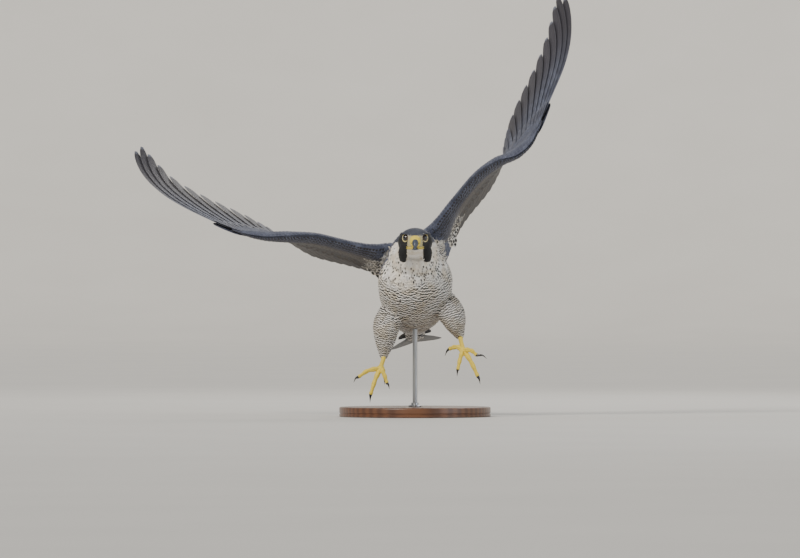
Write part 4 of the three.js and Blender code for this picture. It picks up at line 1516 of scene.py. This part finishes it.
def make_bill():
    horn = made_once("horn", make_horn)
    yellow = made_once("bare_skin", make_bare_skin)
    upper_rings = bill_rings(CERE_END - 0.15, 7, 60, 40)
    points, polygons = tube(upper_rings)
    tip = np.repeat(np.linspace(0, 1, 60), 40)
    upper = mesh_object("bill_hook", points, polygons, horn, {"tip": tip})
    outward_faces(upper)
    cere = mesh_object("cere_wax", *tube(bill_rings(-0.35, CERE_END + 0.05, 40, 64, 0.35)), yellow)
    outward_faces(cere)
    carve_nostrils(cere)
    rings = []
    lower = through((24, 7.2), (30, 6.4), (36, 4.6), (39, 3), (41, 1))
    for forward in np.linspace(24, 41, 36):
        half = lower(forward)
        drop = -17.6 - (forward - 24) * 0.06
        depth = np.array([0, 0, 0.5 + half * 0.3])
        rings.append(ring(head_point(0, forward, drop), ACROSS * half, depth, 32))
    points, polygons = tube(rings)
    tip = np.repeat(np.linspace(0, 0.7, 36), 32)
    lower_bill = mesh_object("bill_under", points, polygons, horn, {"tip": tip})
    outward_faces(lower_bill)
    # Painted shade: dark pieces set deep in each nostril hollow stand for the shadow inside the openings.
    nostril_shade_forms = [limb([nostril_centre(s) - (s * 2.6, -0.6, 0), nostril_centre(s) - (s * 1.2, -0.3, 0),
                     nostril_centre(s) - (s * 0.5, 0, 0)], through((0, 0.8), (0.6, 1.5), (1, 0.7)), 16, 10)
               for s in SIDES.values()]
    nostril_shade = mesh_object("nostril_shade", *joined(nostril_shade_forms), made_once("claw_horn", make_claw_finish))
    outward_faces(nostril_shade)
    upper_fold = mouth_corners(yellow, 1.1, 0.9)
    upper_fold.name = "mouth_fold_upper"
    lower_fold = mouth_corners(yellow, -1.1, 0.9)
    lower_fold.name = "mouth_fold_lower"
    line = mouth_corners(horn, 0, 0.6)
    line.name = "mouth_line"
    for piece, slot, node in (
        (upper, "horn", "bill_upper"),
        (cere, "bare_skin", "cere"),
        (lower_bill, "horn", "bill_lower"),
        (upper_fold, "bare_skin", None),
        (lower_fold, "bare_skin", None),
        (line, "horn", None),
        (nostril_shade, "horn", None),
    ):
        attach(piece, BODY)
        if node:
            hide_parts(node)


def nostril_centre(sign):
    return head_point(sign * 6.6, 37, -9)


def carve_nostrils(piece):
    """Sinks a round nostril with a small knob in it on each side of the cere."""
    points = points_of(piece)
    for sign in SIDES.values():
        centre = nostril_centre(sign)
        away = np.linalg.norm((points - centre) * (0.8, 1, 1), axis=1)
        side = np.sign(points[:, 0]) == sign
        sink = 2.4 * np.exp(-(away / 1.35) ** 4) - 1.5 * np.exp(-(away / 0.55) ** 2)
        lip = 0.45 * np.exp(-((away - 1.9) / 0.5) ** 2)
        inward = unit(head_point(0, 33, -8) - centre)
        points += (side * (sink - lip))[:, None] * inward
    piece.data.vertices.foreach_set("co", (points * MM).astype(np.float32).ravel())
    piece.data.update()


def mouth_corners(finish, rise, radius):
    """A soft fold on each side that runs back from under the cere to the corner of the mouth."""
    forms = []
    for sign in SIDES.values():
        points = [head_point(sign * 3.5, 36, rise - 16.6), head_point(sign * 8.4, 31, rise - 16.8),
                  head_point(sign * 12, 25, rise - 16.4), head_point(sign * 14.4, 21, rise - 15.4)]
        forms.append(limb(points, through((0, radius * 0.8), (0.4, radius), (1, radius * 0.3)), 12, 20))
    piece = mesh_object(f"mouth_{finish.name}", *joined(forms), finish)
    outward_faces(piece)
    return piece


# Feet

FOOT_VOXEL = 0.62
FOOT_SMOOTHINGS = 6
SHANK_RADIUS = 3.9
SCUTE_SPACING = 1.75
# The side of toe and shank that carries scutes, and the radius at which a scute has its stated size
SCUTE_SIDE = np.array([0, -0.75, 0.65])
SCUTE_GIRTH = 3.5


def toe_path(side, name):
    tip, _, size = TOES[side][name]
    root = joint(side, "foot")
    end = root + tip
    return [root, (root + end) / 2 + (0, -5, 4), end], size


def toe_radius(size):
    """Pads swell and joints narrow along a toe."""
    def radius(share):
        pads = 0.1 * np.cos(share * 6 * math.pi)
        return size * (1.02 - 0.34 * share + pads) - 0.5 * (share > 0.97)

    return radius


def foot_form(side):
    forms = []
    for name in TOES[side]:
        points, size = toe_path(side, name)
        forms.append(limb(points, toe_radius(size), 24, 40))
        path = path_through(points)
        for share in (0.36, 0.68, 0.97):
            pad = path(share) + np.array([0, 1.2, -1.3])
            forms.append(limb([pad + (0, 0, 0.1 - size * 0.5), pad, pad + (0, 0, size * 0.5)],
                              through((0, 0.6), (0.5, size * 0.62), (1, 0.6)), 12, 8))
    foot = joint(side, "foot")
    palm = [foot + (0, 3, -4), foot, foot + (0, -3, 4.5)]
    forms.append(limb(palm, through((0, 2.5), (0.5, 7.2), (1, 2.5)), 20, 12))
    return forms


def shank_path(side):
    ankle, foot = joint(side, "ankle"), joint(side, "foot")
    return [ankle + (0, 2, 4), ankle + (0, -5, -1), foot]


def shank_form(side):
    return limb(shank_path(side), through((0, 4.2), (0.3, 4.3), (0.7, 3.5), (1, 4.4)), 24, 30)


def scute_tree(finish):
    """Geometry nodes: one flat rounded plate on each carrier point, turned and sized by its attributes."""
    tree = bpy.data.node_groups.new("Scutes", "GeometryNodeTree")
    face = tree.interface
    face.new_socket("Geometry", in_out="INPUT", socket_type="NodeSocketGeometry")
    for name, default in (("Length", 0.0011), ("Width", 0.0028), ("Height", 0.0007)):
        face.new_socket(name, in_out="INPUT", socket_type="NodeSocketFloat").default_value = default
    face.new_socket("Geometry", in_out="OUTPUT", socket_type="NodeSocketGeometry")
    add = tree.nodes.new
    link = tree.links.new
    enter, leave = add("NodeGroupInput"), add("NodeGroupOutput")
    plate = add("GeometryNodeMeshUVSphere")
    plate.inputs["Segments"].default_value = 12
    plate.inputs["Rings"].default_value = 6
    plate.inputs["Radius"].default_value = 1.0
    size = add("ShaderNodeCombineXYZ")
    for i, name in enumerate(("Length", "Width", "Height")):
        link(enter.outputs[name], size.inputs[i])
    shape = add("GeometryNodeTransform")
    link(plate.outputs["Mesh"], shape.inputs["Geometry"])
    link(size.outputs[0], shape.inputs["Scale"])
    fields = {}
    for name, kind in (("way", "FLOAT_VECTOR"), ("out", "FLOAT_VECTOR"), ("girth", "FLOAT")):
        field = add("GeometryNodeInputNamedAttribute")
        field.data_type = kind
        field.inputs["Name"].default_value = name
        fields[name] = field.outputs["Attribute"]
    along = add("FunctionNodeAlignRotationToVector")
    along.axis = "X"
    link(fields["way"], along.inputs["Vector"])
    upward = add("FunctionNodeAlignRotationToVector")
    upward.axis = "Z"
    upward.pivot_axis = "X"
    link(along.outputs["Rotation"], upward.inputs["Rotation"])
    link(fields["out"], upward.inputs["Vector"])
    vary = add("FunctionNodeRandomValue")
    vary.data_type = "FLOAT"
    for name, value in (("Min", 0.9), ("Max", 1.1), ("Seed", 7)):
        [s for s in vary.inputs if s.name == name and s.enabled][0].default_value = value
    scale = add("ShaderNodeMath")
    scale.operation = "MULTIPLY"
    link([s for s in vary.outputs if s.enabled][0], scale.inputs[0])
    link(fields["girth"], scale.inputs[1])
    copies = add("GeometryNodeInstanceOnPoints")
    link(enter.outputs["Geometry"], copies.inputs["Points"])
    link(shape.outputs["Geometry"], copies.inputs["Instance"])
    link(upward.outputs["Rotation"], copies.inputs["Rotation"])
    link(scale.outputs[0], copies.inputs["Scale"])
    real = add("GeometryNodeRealizeInstances")
    link(copies.outputs["Instances"], real.inputs["Geometry"])
    paint = add("GeometryNodeSetMaterial")
    paint.inputs["Material"].default_value = finish
    link(real.outputs["Geometry"], paint.inputs["Geometry"])
    link(paint.outputs["Geometry"], leave.inputs["Geometry"])
    return tree


def scute_points(side):
    """Where the scutes of one foot sit: along the top of each toe and down the front of the shank."""
    places, ways, outs, girths = [], [], [], []
    lines = []
    for name in TOES[side]:
        points, size = toe_path(side, name)
        lines.append((points, toe_radius(size)))
    lines.append((shank_path(side), lambda share: SHANK_RADIUS))
    for points, radius in lines:
        path = path_through(points)
        length = np.linalg.norm(np.diff(path(np.linspace(0, 1, 40)), axis=0), axis=1).sum()
        for share in np.linspace(0.08, 0.95, int(length / SCUTE_SPACING)):
            way = unit(path(share + 0.02) - path(share - 0.02))
            out = unit(SCUTE_SIDE - way * along_axis(SCUTE_SIDE, way))
            places.append(path(share) + out * (radius(share) - 0.15))
            ways.append(way)
            outs.append(out)
            girths.append(radius(share) / SCUTE_GIRTH)
    return tuple(np.array(values) for values in (places, ways, outs, girths))


def make_feet():
    yellow = made_once("bare_skin", make_bare_skin)
    horn = made_once("claw_horn", make_claw_finish)
    tree = scute_tree(yellow)
    look = settings()
    for side in SIDES:
        foot = mesh_object(f"toes_{side}", *joined(foot_form(side) + [shank_form(side)]), yellow)
        outward_faces(foot)
        fused(foot, FOOT_VOXEL, FOOT_SMOOTHINGS)
        foot.data.materials.clear()
        foot.data.materials.append(yellow)
        foot.data.shade_smooth()
        places, ways, outs, girths = scute_points(side)
        carrier = mesh_object(f"scutes_{side}", places, [], yellow,
                              {"way": ways, "out": outs, "girth": girths})
        modifier = carrier.modifiers.new("Scutes", "NODES")
        modifier.node_group = tree
        sizes = {"Length": look.scute_length, "Width": look.scute_width, "Height": look.scute_height}
        for item in tree.interface.items_tree:
            if item.item_type == "SOCKET" and item.name in sizes:
                modifier[item.identifier] = sizes[item.name]
        applied(carrier)
        carrier.data.shade_smooth()
        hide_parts(f"foot_{side}", f"tarsus_{side}")
        for piece in (foot, carrier):
            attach(piece, BODY)
        for name, (tip, claw, size) in TOES[side].items():
            piece = claw_piece(side, name, np.array(tip), np.array(claw), size, horn)
            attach(piece, BODY)
            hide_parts(f"claw_{name}_{side}")


def claw_piece(side, name, tip, claw, size, finish):
    """A curved claw from inside the toe to its point."""
    root = joint(side, "foot")
    start, end = root + tip, root + claw
    points = [start + (root - start) * 0.1, start, (start + end) / 2 + (0, -3, 3), end]
    width = size * 0.62
    steps = 30
    rings = limb(points, through((0, width * 0.7), (0.3, width), (1, 0.15)), 18, steps)
    tips = np.repeat(np.linspace(0, 1, steps), 18)
    piece = mesh_object(f"talon_{name}_{side}", *rings, finish, {"tip": tips})
    outward_faces(piece)
    return piece


# Stand

# A round base with a bevelled edge, and a rod that stands a little off its middle
BASE_RADIUS = 125
BASE_HEIGHT = 16
BASE_EDGE = 2.5
ROD_RADIUS = 4
ROD_PLACE = (0, 6)
# The collar at the foot of the rod, as radius and height over the base
COLLAR = [(0, 0.1), (10.5, 0.1), (11, 0.6), (11, 2), (9.5, 3), (6.6, 3.4), (6.2, 6.5), (5.7, 7), (0, 7)]


def make_wood(name):
    look = settings()
    finish = Finish(name, Roughness=0.38, Coat_Weight=0.35, Coat_Roughness=0.2)
    grain = finish.noise(6.0, 6.0, 0.6, finish.stretched(9.0, 60.0, 60.0))
    lines = finish.node("ShaderNodeTexWave", {"wave_type": "BANDS", "bands_direction": "Y"},
                        {"Vector": finish.position(), "Scale": 34.0, "Distortion": 2.6, "Detail": 3.0,
                         "Detail Scale": 0.5}, output="Fac")
    colour = finish.mix(lines.between(0.0, 1.0), look.wood_dark, look.wood)
    colour = finish.mix(grain.between(0.5, 0.75) * 0.5, colour, look.wood_dark)
    finish.feed("Base Color", colour)
    finish.bump(grain * 0.6 + lines * 0.4, 0.08, 0.0005)
    return finish


def make_steel(name):
    look = settings()
    finish = Finish(name, Metallic=1.0, Roughness=0.3)
    brushed = finish.noise(2600.0, 3.0, 0.6, finish.stretched(1.0, 1.0, 0.02))
    finish.feed("Base Color", finish.mix(brushed, look.steel_dark, look.steel))
    finish.feed("Roughness", brushed * 0.18 + 0.22)
    finish.bump(brushed, 0.08, 0.0002)
    return finish


def lathe(profile, sides, centre=(0, 0)):
    """A turned form from radius and height pairs, closed at the axis."""
    rings = []
    for radius, z in profile:
        radius = max(radius, 0.01)
        rings.append(ring((*centre, z), ACROSS * radius, np.array([0, radius, 0]), sides))
    return tube(rings)


def turned_piece(name, profile, sides, centre, material, sharp):
    """A turned piece with faces outward and its edges sharp over an angle."""
    piece = mesh_object(name, *lathe(profile, sides, centre), material, sharp=sharp)
    outward_faces(piece)
    piece.data.set_sharp_from_angle(angle=math.radians(sharp))
    return piece


def make_stand():
    wood = made_once("turned_wood", make_wood)
    steel = made_once("brushed_steel", make_steel)
    bevel = [(BASE_RADIUS - BASE_EDGE * (1 - math.sin(a)), BASE_HEIGHT - BASE_EDGE * (1 - math.cos(a)))
             for a in np.linspace(math.pi / 2, 0, 8)]
    groove = [(BASE_RADIUS - 9, BASE_HEIGHT), (BASE_RADIUS - 9.8, BASE_HEIGHT - 0.8),
              (BASE_RADIUS - 11.2, BASE_HEIGHT - 0.8), (BASE_RADIUS - 12, BASE_HEIGHT)]
    profile = [(0, 0), (BASE_RADIUS - 1, 0), (BASE_RADIUS, 1), (BASE_RADIUS, 4), (BASE_RADIUS - 1, 5),
               (BASE_RADIUS - 1, 6), (BASE_RADIUS, 7), *bevel, *groove, (20, BASE_HEIGHT), (0, BASE_HEIGHT)]
    base = turned_piece("base_disc", profile, 160, (0, 0), wood, 30)
    collar_profile = [(radius, BASE_HEIGHT + height) for radius, height in COLLAR]
    collar = turned_piece("rod_collar", collar_profile, 64, ROD_PLACE, steel, 35)
    foot, top = BASE_HEIGHT + 0.4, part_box("stand_rod")[1].z / MM
    rod_profile = [(0, foot), (ROD_RADIUS, foot), (ROD_RADIUS, top), (0, top + 0.5)]
    rod = turned_piece("rod", rod_profile, 48, ROD_PLACE, steel, 35)
    for piece, slot, node in (
        (base, "stand_wood", "stand_base"),
        (rod, "stand_steel", "stand_rod"),
        (collar, "stand_steel", None),
    ):
        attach(piece, BODY)
        if node:
            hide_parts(node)


# Stage

# A camera far off, so that the picture has the photo's flat view, and a floor that curves up behind
CAMERA_AWAY = 12.0
SENSOR = 36
KEY_SPREAD = math.radians(22)
FLOOR_DROP = -0.3
FLOOR_FLAT = 13500
FLOOR_CURVE = 6000
FLOOR_RISE = 7000
# The size of a pixel of the photo, the bird's middle in it, and a row of it with its height
PIXEL = 1.65
PHOTO_SIZE = (800, 558)
BIRD_COLUMN = 415
STAND_ROW = 402
STAND_ROW_HEIGHT = 24


def make_stage():
    look = settings()
    finish = Finish("studio_floor", Roughness=0.85)
    tone = finish.noise(3.0, 4.0)
    finish.feed("Base Color", finish.mix(tone, look.floor, look.floor_shade))
    turns = np.linspace(0, math.pi / 2, 24)
    curve = [(FLOOR_FLAT + FLOOR_CURVE * math.sin(a), FLOOR_DROP + FLOOR_RISE * (1 - math.cos(a)))
             for a in turns]
    rings = [ring((0, 0, z), ACROSS * r, np.array([0, r, 0]), 96) for r, z in ((0.1, FLOOR_DROP), *curve)]
    points, (walls, ends) = tube(rings)
    floor = mesh_object("studio_floor", points, [walls[:, ::-1], ends[:1, ::-1]], finish.material)
    floor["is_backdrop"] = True
    world = bpy.data.worlds.new("studio")
    world.use_nodes = True
    world.node_tree.nodes["Background"].inputs["Color"].default_value = look.backdrop
    world.node_tree.nodes["Background"].inputs["Strength"].default_value = look.world_light
    bpy.context.scene.world = world
    aim = Vector((0, -0.03, 0.28))
    for name, place, size, power, colour in (
        ("fill_light", (2.2, -1.6, 0.7), 1.6, look.fill_light, (0.8, 0.88, 1.0)),
        ("rim_light", (0.6, 1.9, 1.9), 1.2, look.rim_light, (1.0, 0.97, 0.93)),
    ):
        data = bpy.data.lights.new(name, "AREA")
        data.size = size
        data.energy = power
        data.color = colour
        lamp = bpy.data.objects.new(name, data)
        lamp.location = place
        lamp.rotation_euler = (aim - Vector(place)).to_track_quat("-Z", "Y").to_euler()
        bpy.context.scene.collection.objects.link(lamp)
    sun = bpy.data.lights.new("key_light", "SUN")
    sun.angle = KEY_SPREAD
    sun.energy = look.key_light
    sun.color = (1.0, 0.94, 0.86)
    key = bpy.data.objects.new("key_light", sun)
    key.rotation_euler = Vector((1.5, 2.2, -2.0)).to_track_quat("-Z", "Y").to_euler()
    bpy.context.scene.collection.objects.link(key)
    wide, high = PHOTO_SIZE
    view_x = (wide / 2 - BIRD_COLUMN) * PIXEL * MM
    view_z = (STAND_ROW_HEIGHT + (STAND_ROW - high / 2) * PIXEL) * MM
    data = bpy.data.cameras.new("camera")
    data.sensor_width = SENSOR
    data.lens = SENSOR * CAMERA_AWAY / (wide * PIXEL * MM)
    data.clip_end = 200
    camera = bpy.data.objects.new("camera", data)
    camera.location = (view_x, -CAMERA_AWAY, view_z)
    camera.rotation_euler = (math.pi / 2, 0, 0)
    bpy.context.scene.collection.objects.link(camera)
    bpy.context.scene.camera = camera


# The add-on: settings, one operator for each group of pieces, and a panel


def colour_property(name, description, code):
    return FloatVectorProperty(name=name, description=description, subtype="COLOR", size=4, min=0, max=1,
                               default=srgb(code))


def power_property(name, description, default):
    return FloatProperty(name=name, description=description, default=default, min=0, subtype="POWER")


class FalconSettings(bpy.types.PropertyGroup):
    """Sizes and colours of the falcon that a user would change."""

    seed: IntProperty(name="Seed", description="Start of every random draw", default=11, min=0)
    samples: IntProperty(name="Samples", description="Points tried as feather roots", default=150000,
                         min=1000)
    spacing: FloatProperty(name="Feather spacing", description="Factor on the space between body feathers",
                           default=1.0, min=0.5, max=3, subtype="FACTOR")
    scute_length: FloatProperty(name="Scute length", description="Half length of a toe scute along the toe",
                                default=0.0011, min=0, unit="LENGTH")
    scute_width: FloatProperty(name="Scute width", description="Half width of a toe scute",
                               default=0.0027, min=0, unit="LENGTH")
    scute_height: FloatProperty(name="Scute height", description="Half height of a toe scute",
                                default=0.0008, min=0, unit="LENGTH")
    slate: colour_property("Slate", "Blue-grey of the upper parts", "#5d6377")
    slate_dark: colour_property("Dark slate", "Darker tone of the upper parts", "#40455a")
    slate_edge: colour_property("Slate edge", "Pale edge of the upper feathers", "#8d93a4")
    marking: colour_property("Marking", "Bars and spots", "#151316")
    malar: colour_property("Moustache", "The black stripe under each eye", "#0e0f12")
    breast_white: colour_property("White", "Whitest ground of the underparts", "#f6f3ee")
    breast_cream: colour_property("Cream", "Creamy ground of the underparts", "#e4d9c6")
    # Both lining colours hold painted shade: the wing's undersides are coloured as if in shadow, over their
    # real barring.
    shaded_lining_brown: colour_property("Lining brown", "Dark ground and bars under the wing", "#282322")
    shaded_lining_buff: colour_property("Lining buff", "Pale bars under the wing", "#564d45")
    tip_dark: colour_property("Feather tip", "Dark tips of the flight feathers", "#35333c")
    shaft: colour_property("Shaft", "Feather shafts", "#2a2829")
    iris: colour_property("Iris", "Dark brown of the eye", "#1e0f08")
    iris_light: colour_property("Iris light", "Paler brown of the eye", "#3a2012")
    lid_pale: colour_property("Lid", "Pale rim of the eyelids", "#e6e0c4")
    lore_yellow: colour_property("Lore yellow", "Pale yellow between eye and bill", "#beb48a")
    yellow: colour_property("Yellow", "Bare skin", "#e6c71c")
    yellow_pale: colour_property("Pale yellow", "Paler bare skin", "#ecd455")
    yellow_deep: colour_property("Deep yellow", "Shaded bare skin", "#b98f1e")
    horn: colour_property("Horn", "Blue-grey of the bill", "#566174")
    horn_pale: colour_property("Pale horn", "Bill at the cere", "#8d97a3")
    horn_dark: colour_property("Dark horn", "Tip of the bill", "#16181d")
    claw: colour_property("Claw", "Talons", "#121214")
    claw_base: colour_property("Claw base", "Talons at the toe", "#3b3a3c")
    wood: colour_property("Wood", "Base", "#6b452c")
    wood_dark: colour_property("Dark wood", "Grain of the base", "#523322")
    steel: colour_property("Steel", "Rod", "#c9cbce")
    steel_dark: colour_property("Dark steel", "Brush marks of the rod", "#8f9296")
    floor: colour_property("Floor", "Studio floor", "#d9d7d2")
    floor_shade: colour_property("Floor shade", "Second tone of the floor", "#d0cec9")
    backdrop: colour_property("Backdrop", "Studio backdrop", "#d6d8da")
    world_light: FloatProperty(name="Ambient", description="Strength of the even light", default=0.7, min=0)
    key_light: FloatProperty(name="Key light", description="Strength of the warm light from the front left",
                             default=2.6, min=0)
    fill_light: power_property("Fill light", "Cool light from the right", 16)
    rim_light: power_property("Rim light", "Light from behind and above", 16)


class PieceOperator(bpy.types.Operator):
    """Base of the operators that make the falcon's pieces"""

    bl_idname = "falcon.piece"
    bl_label = "Piece"
    bl_options = {"REGISTER"}

    def execute(self, context):
        self.make()
        return {"FINISHED"}


class FALCON_OT_skin(PieceOperator):
    """One skin over torso, neck, head, thighs and the fleshed wings"""

    bl_idname = "falcon.skin"
    bl_label = "Skin"

    def make(self):
        make_skin()


class FALCON_OT_body_coat(PieceOperator):
    """Feathers of head, neck, breast, back and thighs"""

    bl_idname = "falcon.body_coat"
    bl_label = "Body feathers"

    def make(self):
        make_body_coat()


class FALCON_OT_wings(PieceOperator):
    """Flight feathers and coverts of both wings"""

    bl_idname = "falcon.wings"
    bl_label = "Wings"

    def make(self):
        for side in SIDES:
            make_wing(side)


class FALCON_OT_tail(PieceOperator):
    """Tail feathers and their coverts"""

    bl_idname = "falcon.tail"
    bl_label = "Tail"

    def make(self):
        make_tail()


class FALCON_OT_eyes(PieceOperator):
    """Eyes and their lids"""

    bl_idname = "falcon.eyes"
    bl_label = "Eyes"

    def make(self):
        make_eyes()


class FALCON_OT_bill(PieceOperator):
    """Cere, both halves of the bill and the corners of the mouth"""

    bl_idname = "falcon.bill"
    bl_label = "Bill"

    def make(self):
        make_bill()


class FALCON_OT_feet(PieceOperator):
    """Shanks, toes, scutes and talons"""

    bl_idname = "falcon.feet"
    bl_label = "Feet"

    def make(self):
        make_feet()


class FALCON_OT_stand(PieceOperator):
    """Turned base, collar and rod"""

    bl_idname = "falcon.stand"
    bl_label = "Stand"

    def make(self):
        make_stand()


class FALCON_OT_stage(PieceOperator):
    """Floor, lights and camera"""

    bl_idname = "falcon.stage"
    bl_label = "Stage"

    def make(self):
        make_stage()


OPERATORS = (FALCON_OT_skin, FALCON_OT_body_coat, FALCON_OT_wings, FALCON_OT_tail, FALCON_OT_eyes,
             FALCON_OT_bill, FALCON_OT_feet, FALCON_OT_stand, FALCON_OT_stage)


class FALCON_PT_panel(bpy.types.Panel):
    """Sidebar panel with the settings and the steps in order"""

    bl_idname = "FALCON_PT_panel"
    bl_label = "Falcon"
    bl_space_type = "VIEW_3D"
    bl_region_type = "UI"
    bl_category = "Falcon"

    def draw(self, context):
        for operator in OPERATORS:
            self.layout.operator(operator.bl_idname)
        for name in FalconSettings.__annotations__:
            self.layout.prop(context.scene.falcon, name)


CLASSES = (FalconSettings, *OPERATORS, FALCON_PT_panel)


def register():
    for item in CLASSES:
        bpy.utils.register_class(item)
    bpy.types.Scene.falcon = PointerProperty(type=FalconSettings)


def unregister():
    del bpy.types.Scene.falcon
    for item in reversed(CLASSES):
        bpy.utils.unregister_class(item)


def main():
    register()
    cad_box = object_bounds()
    for operator in OPERATORS:
        getattr(bpy.ops.falcon, operator.bl_idname.split(".")[1])()
    sizes = {"cad": cad_box, "visual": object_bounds()}
    {name: [list(corner) for corner in box] for name, box in sizes.items()}


if __name__ == "__main__":
    main()
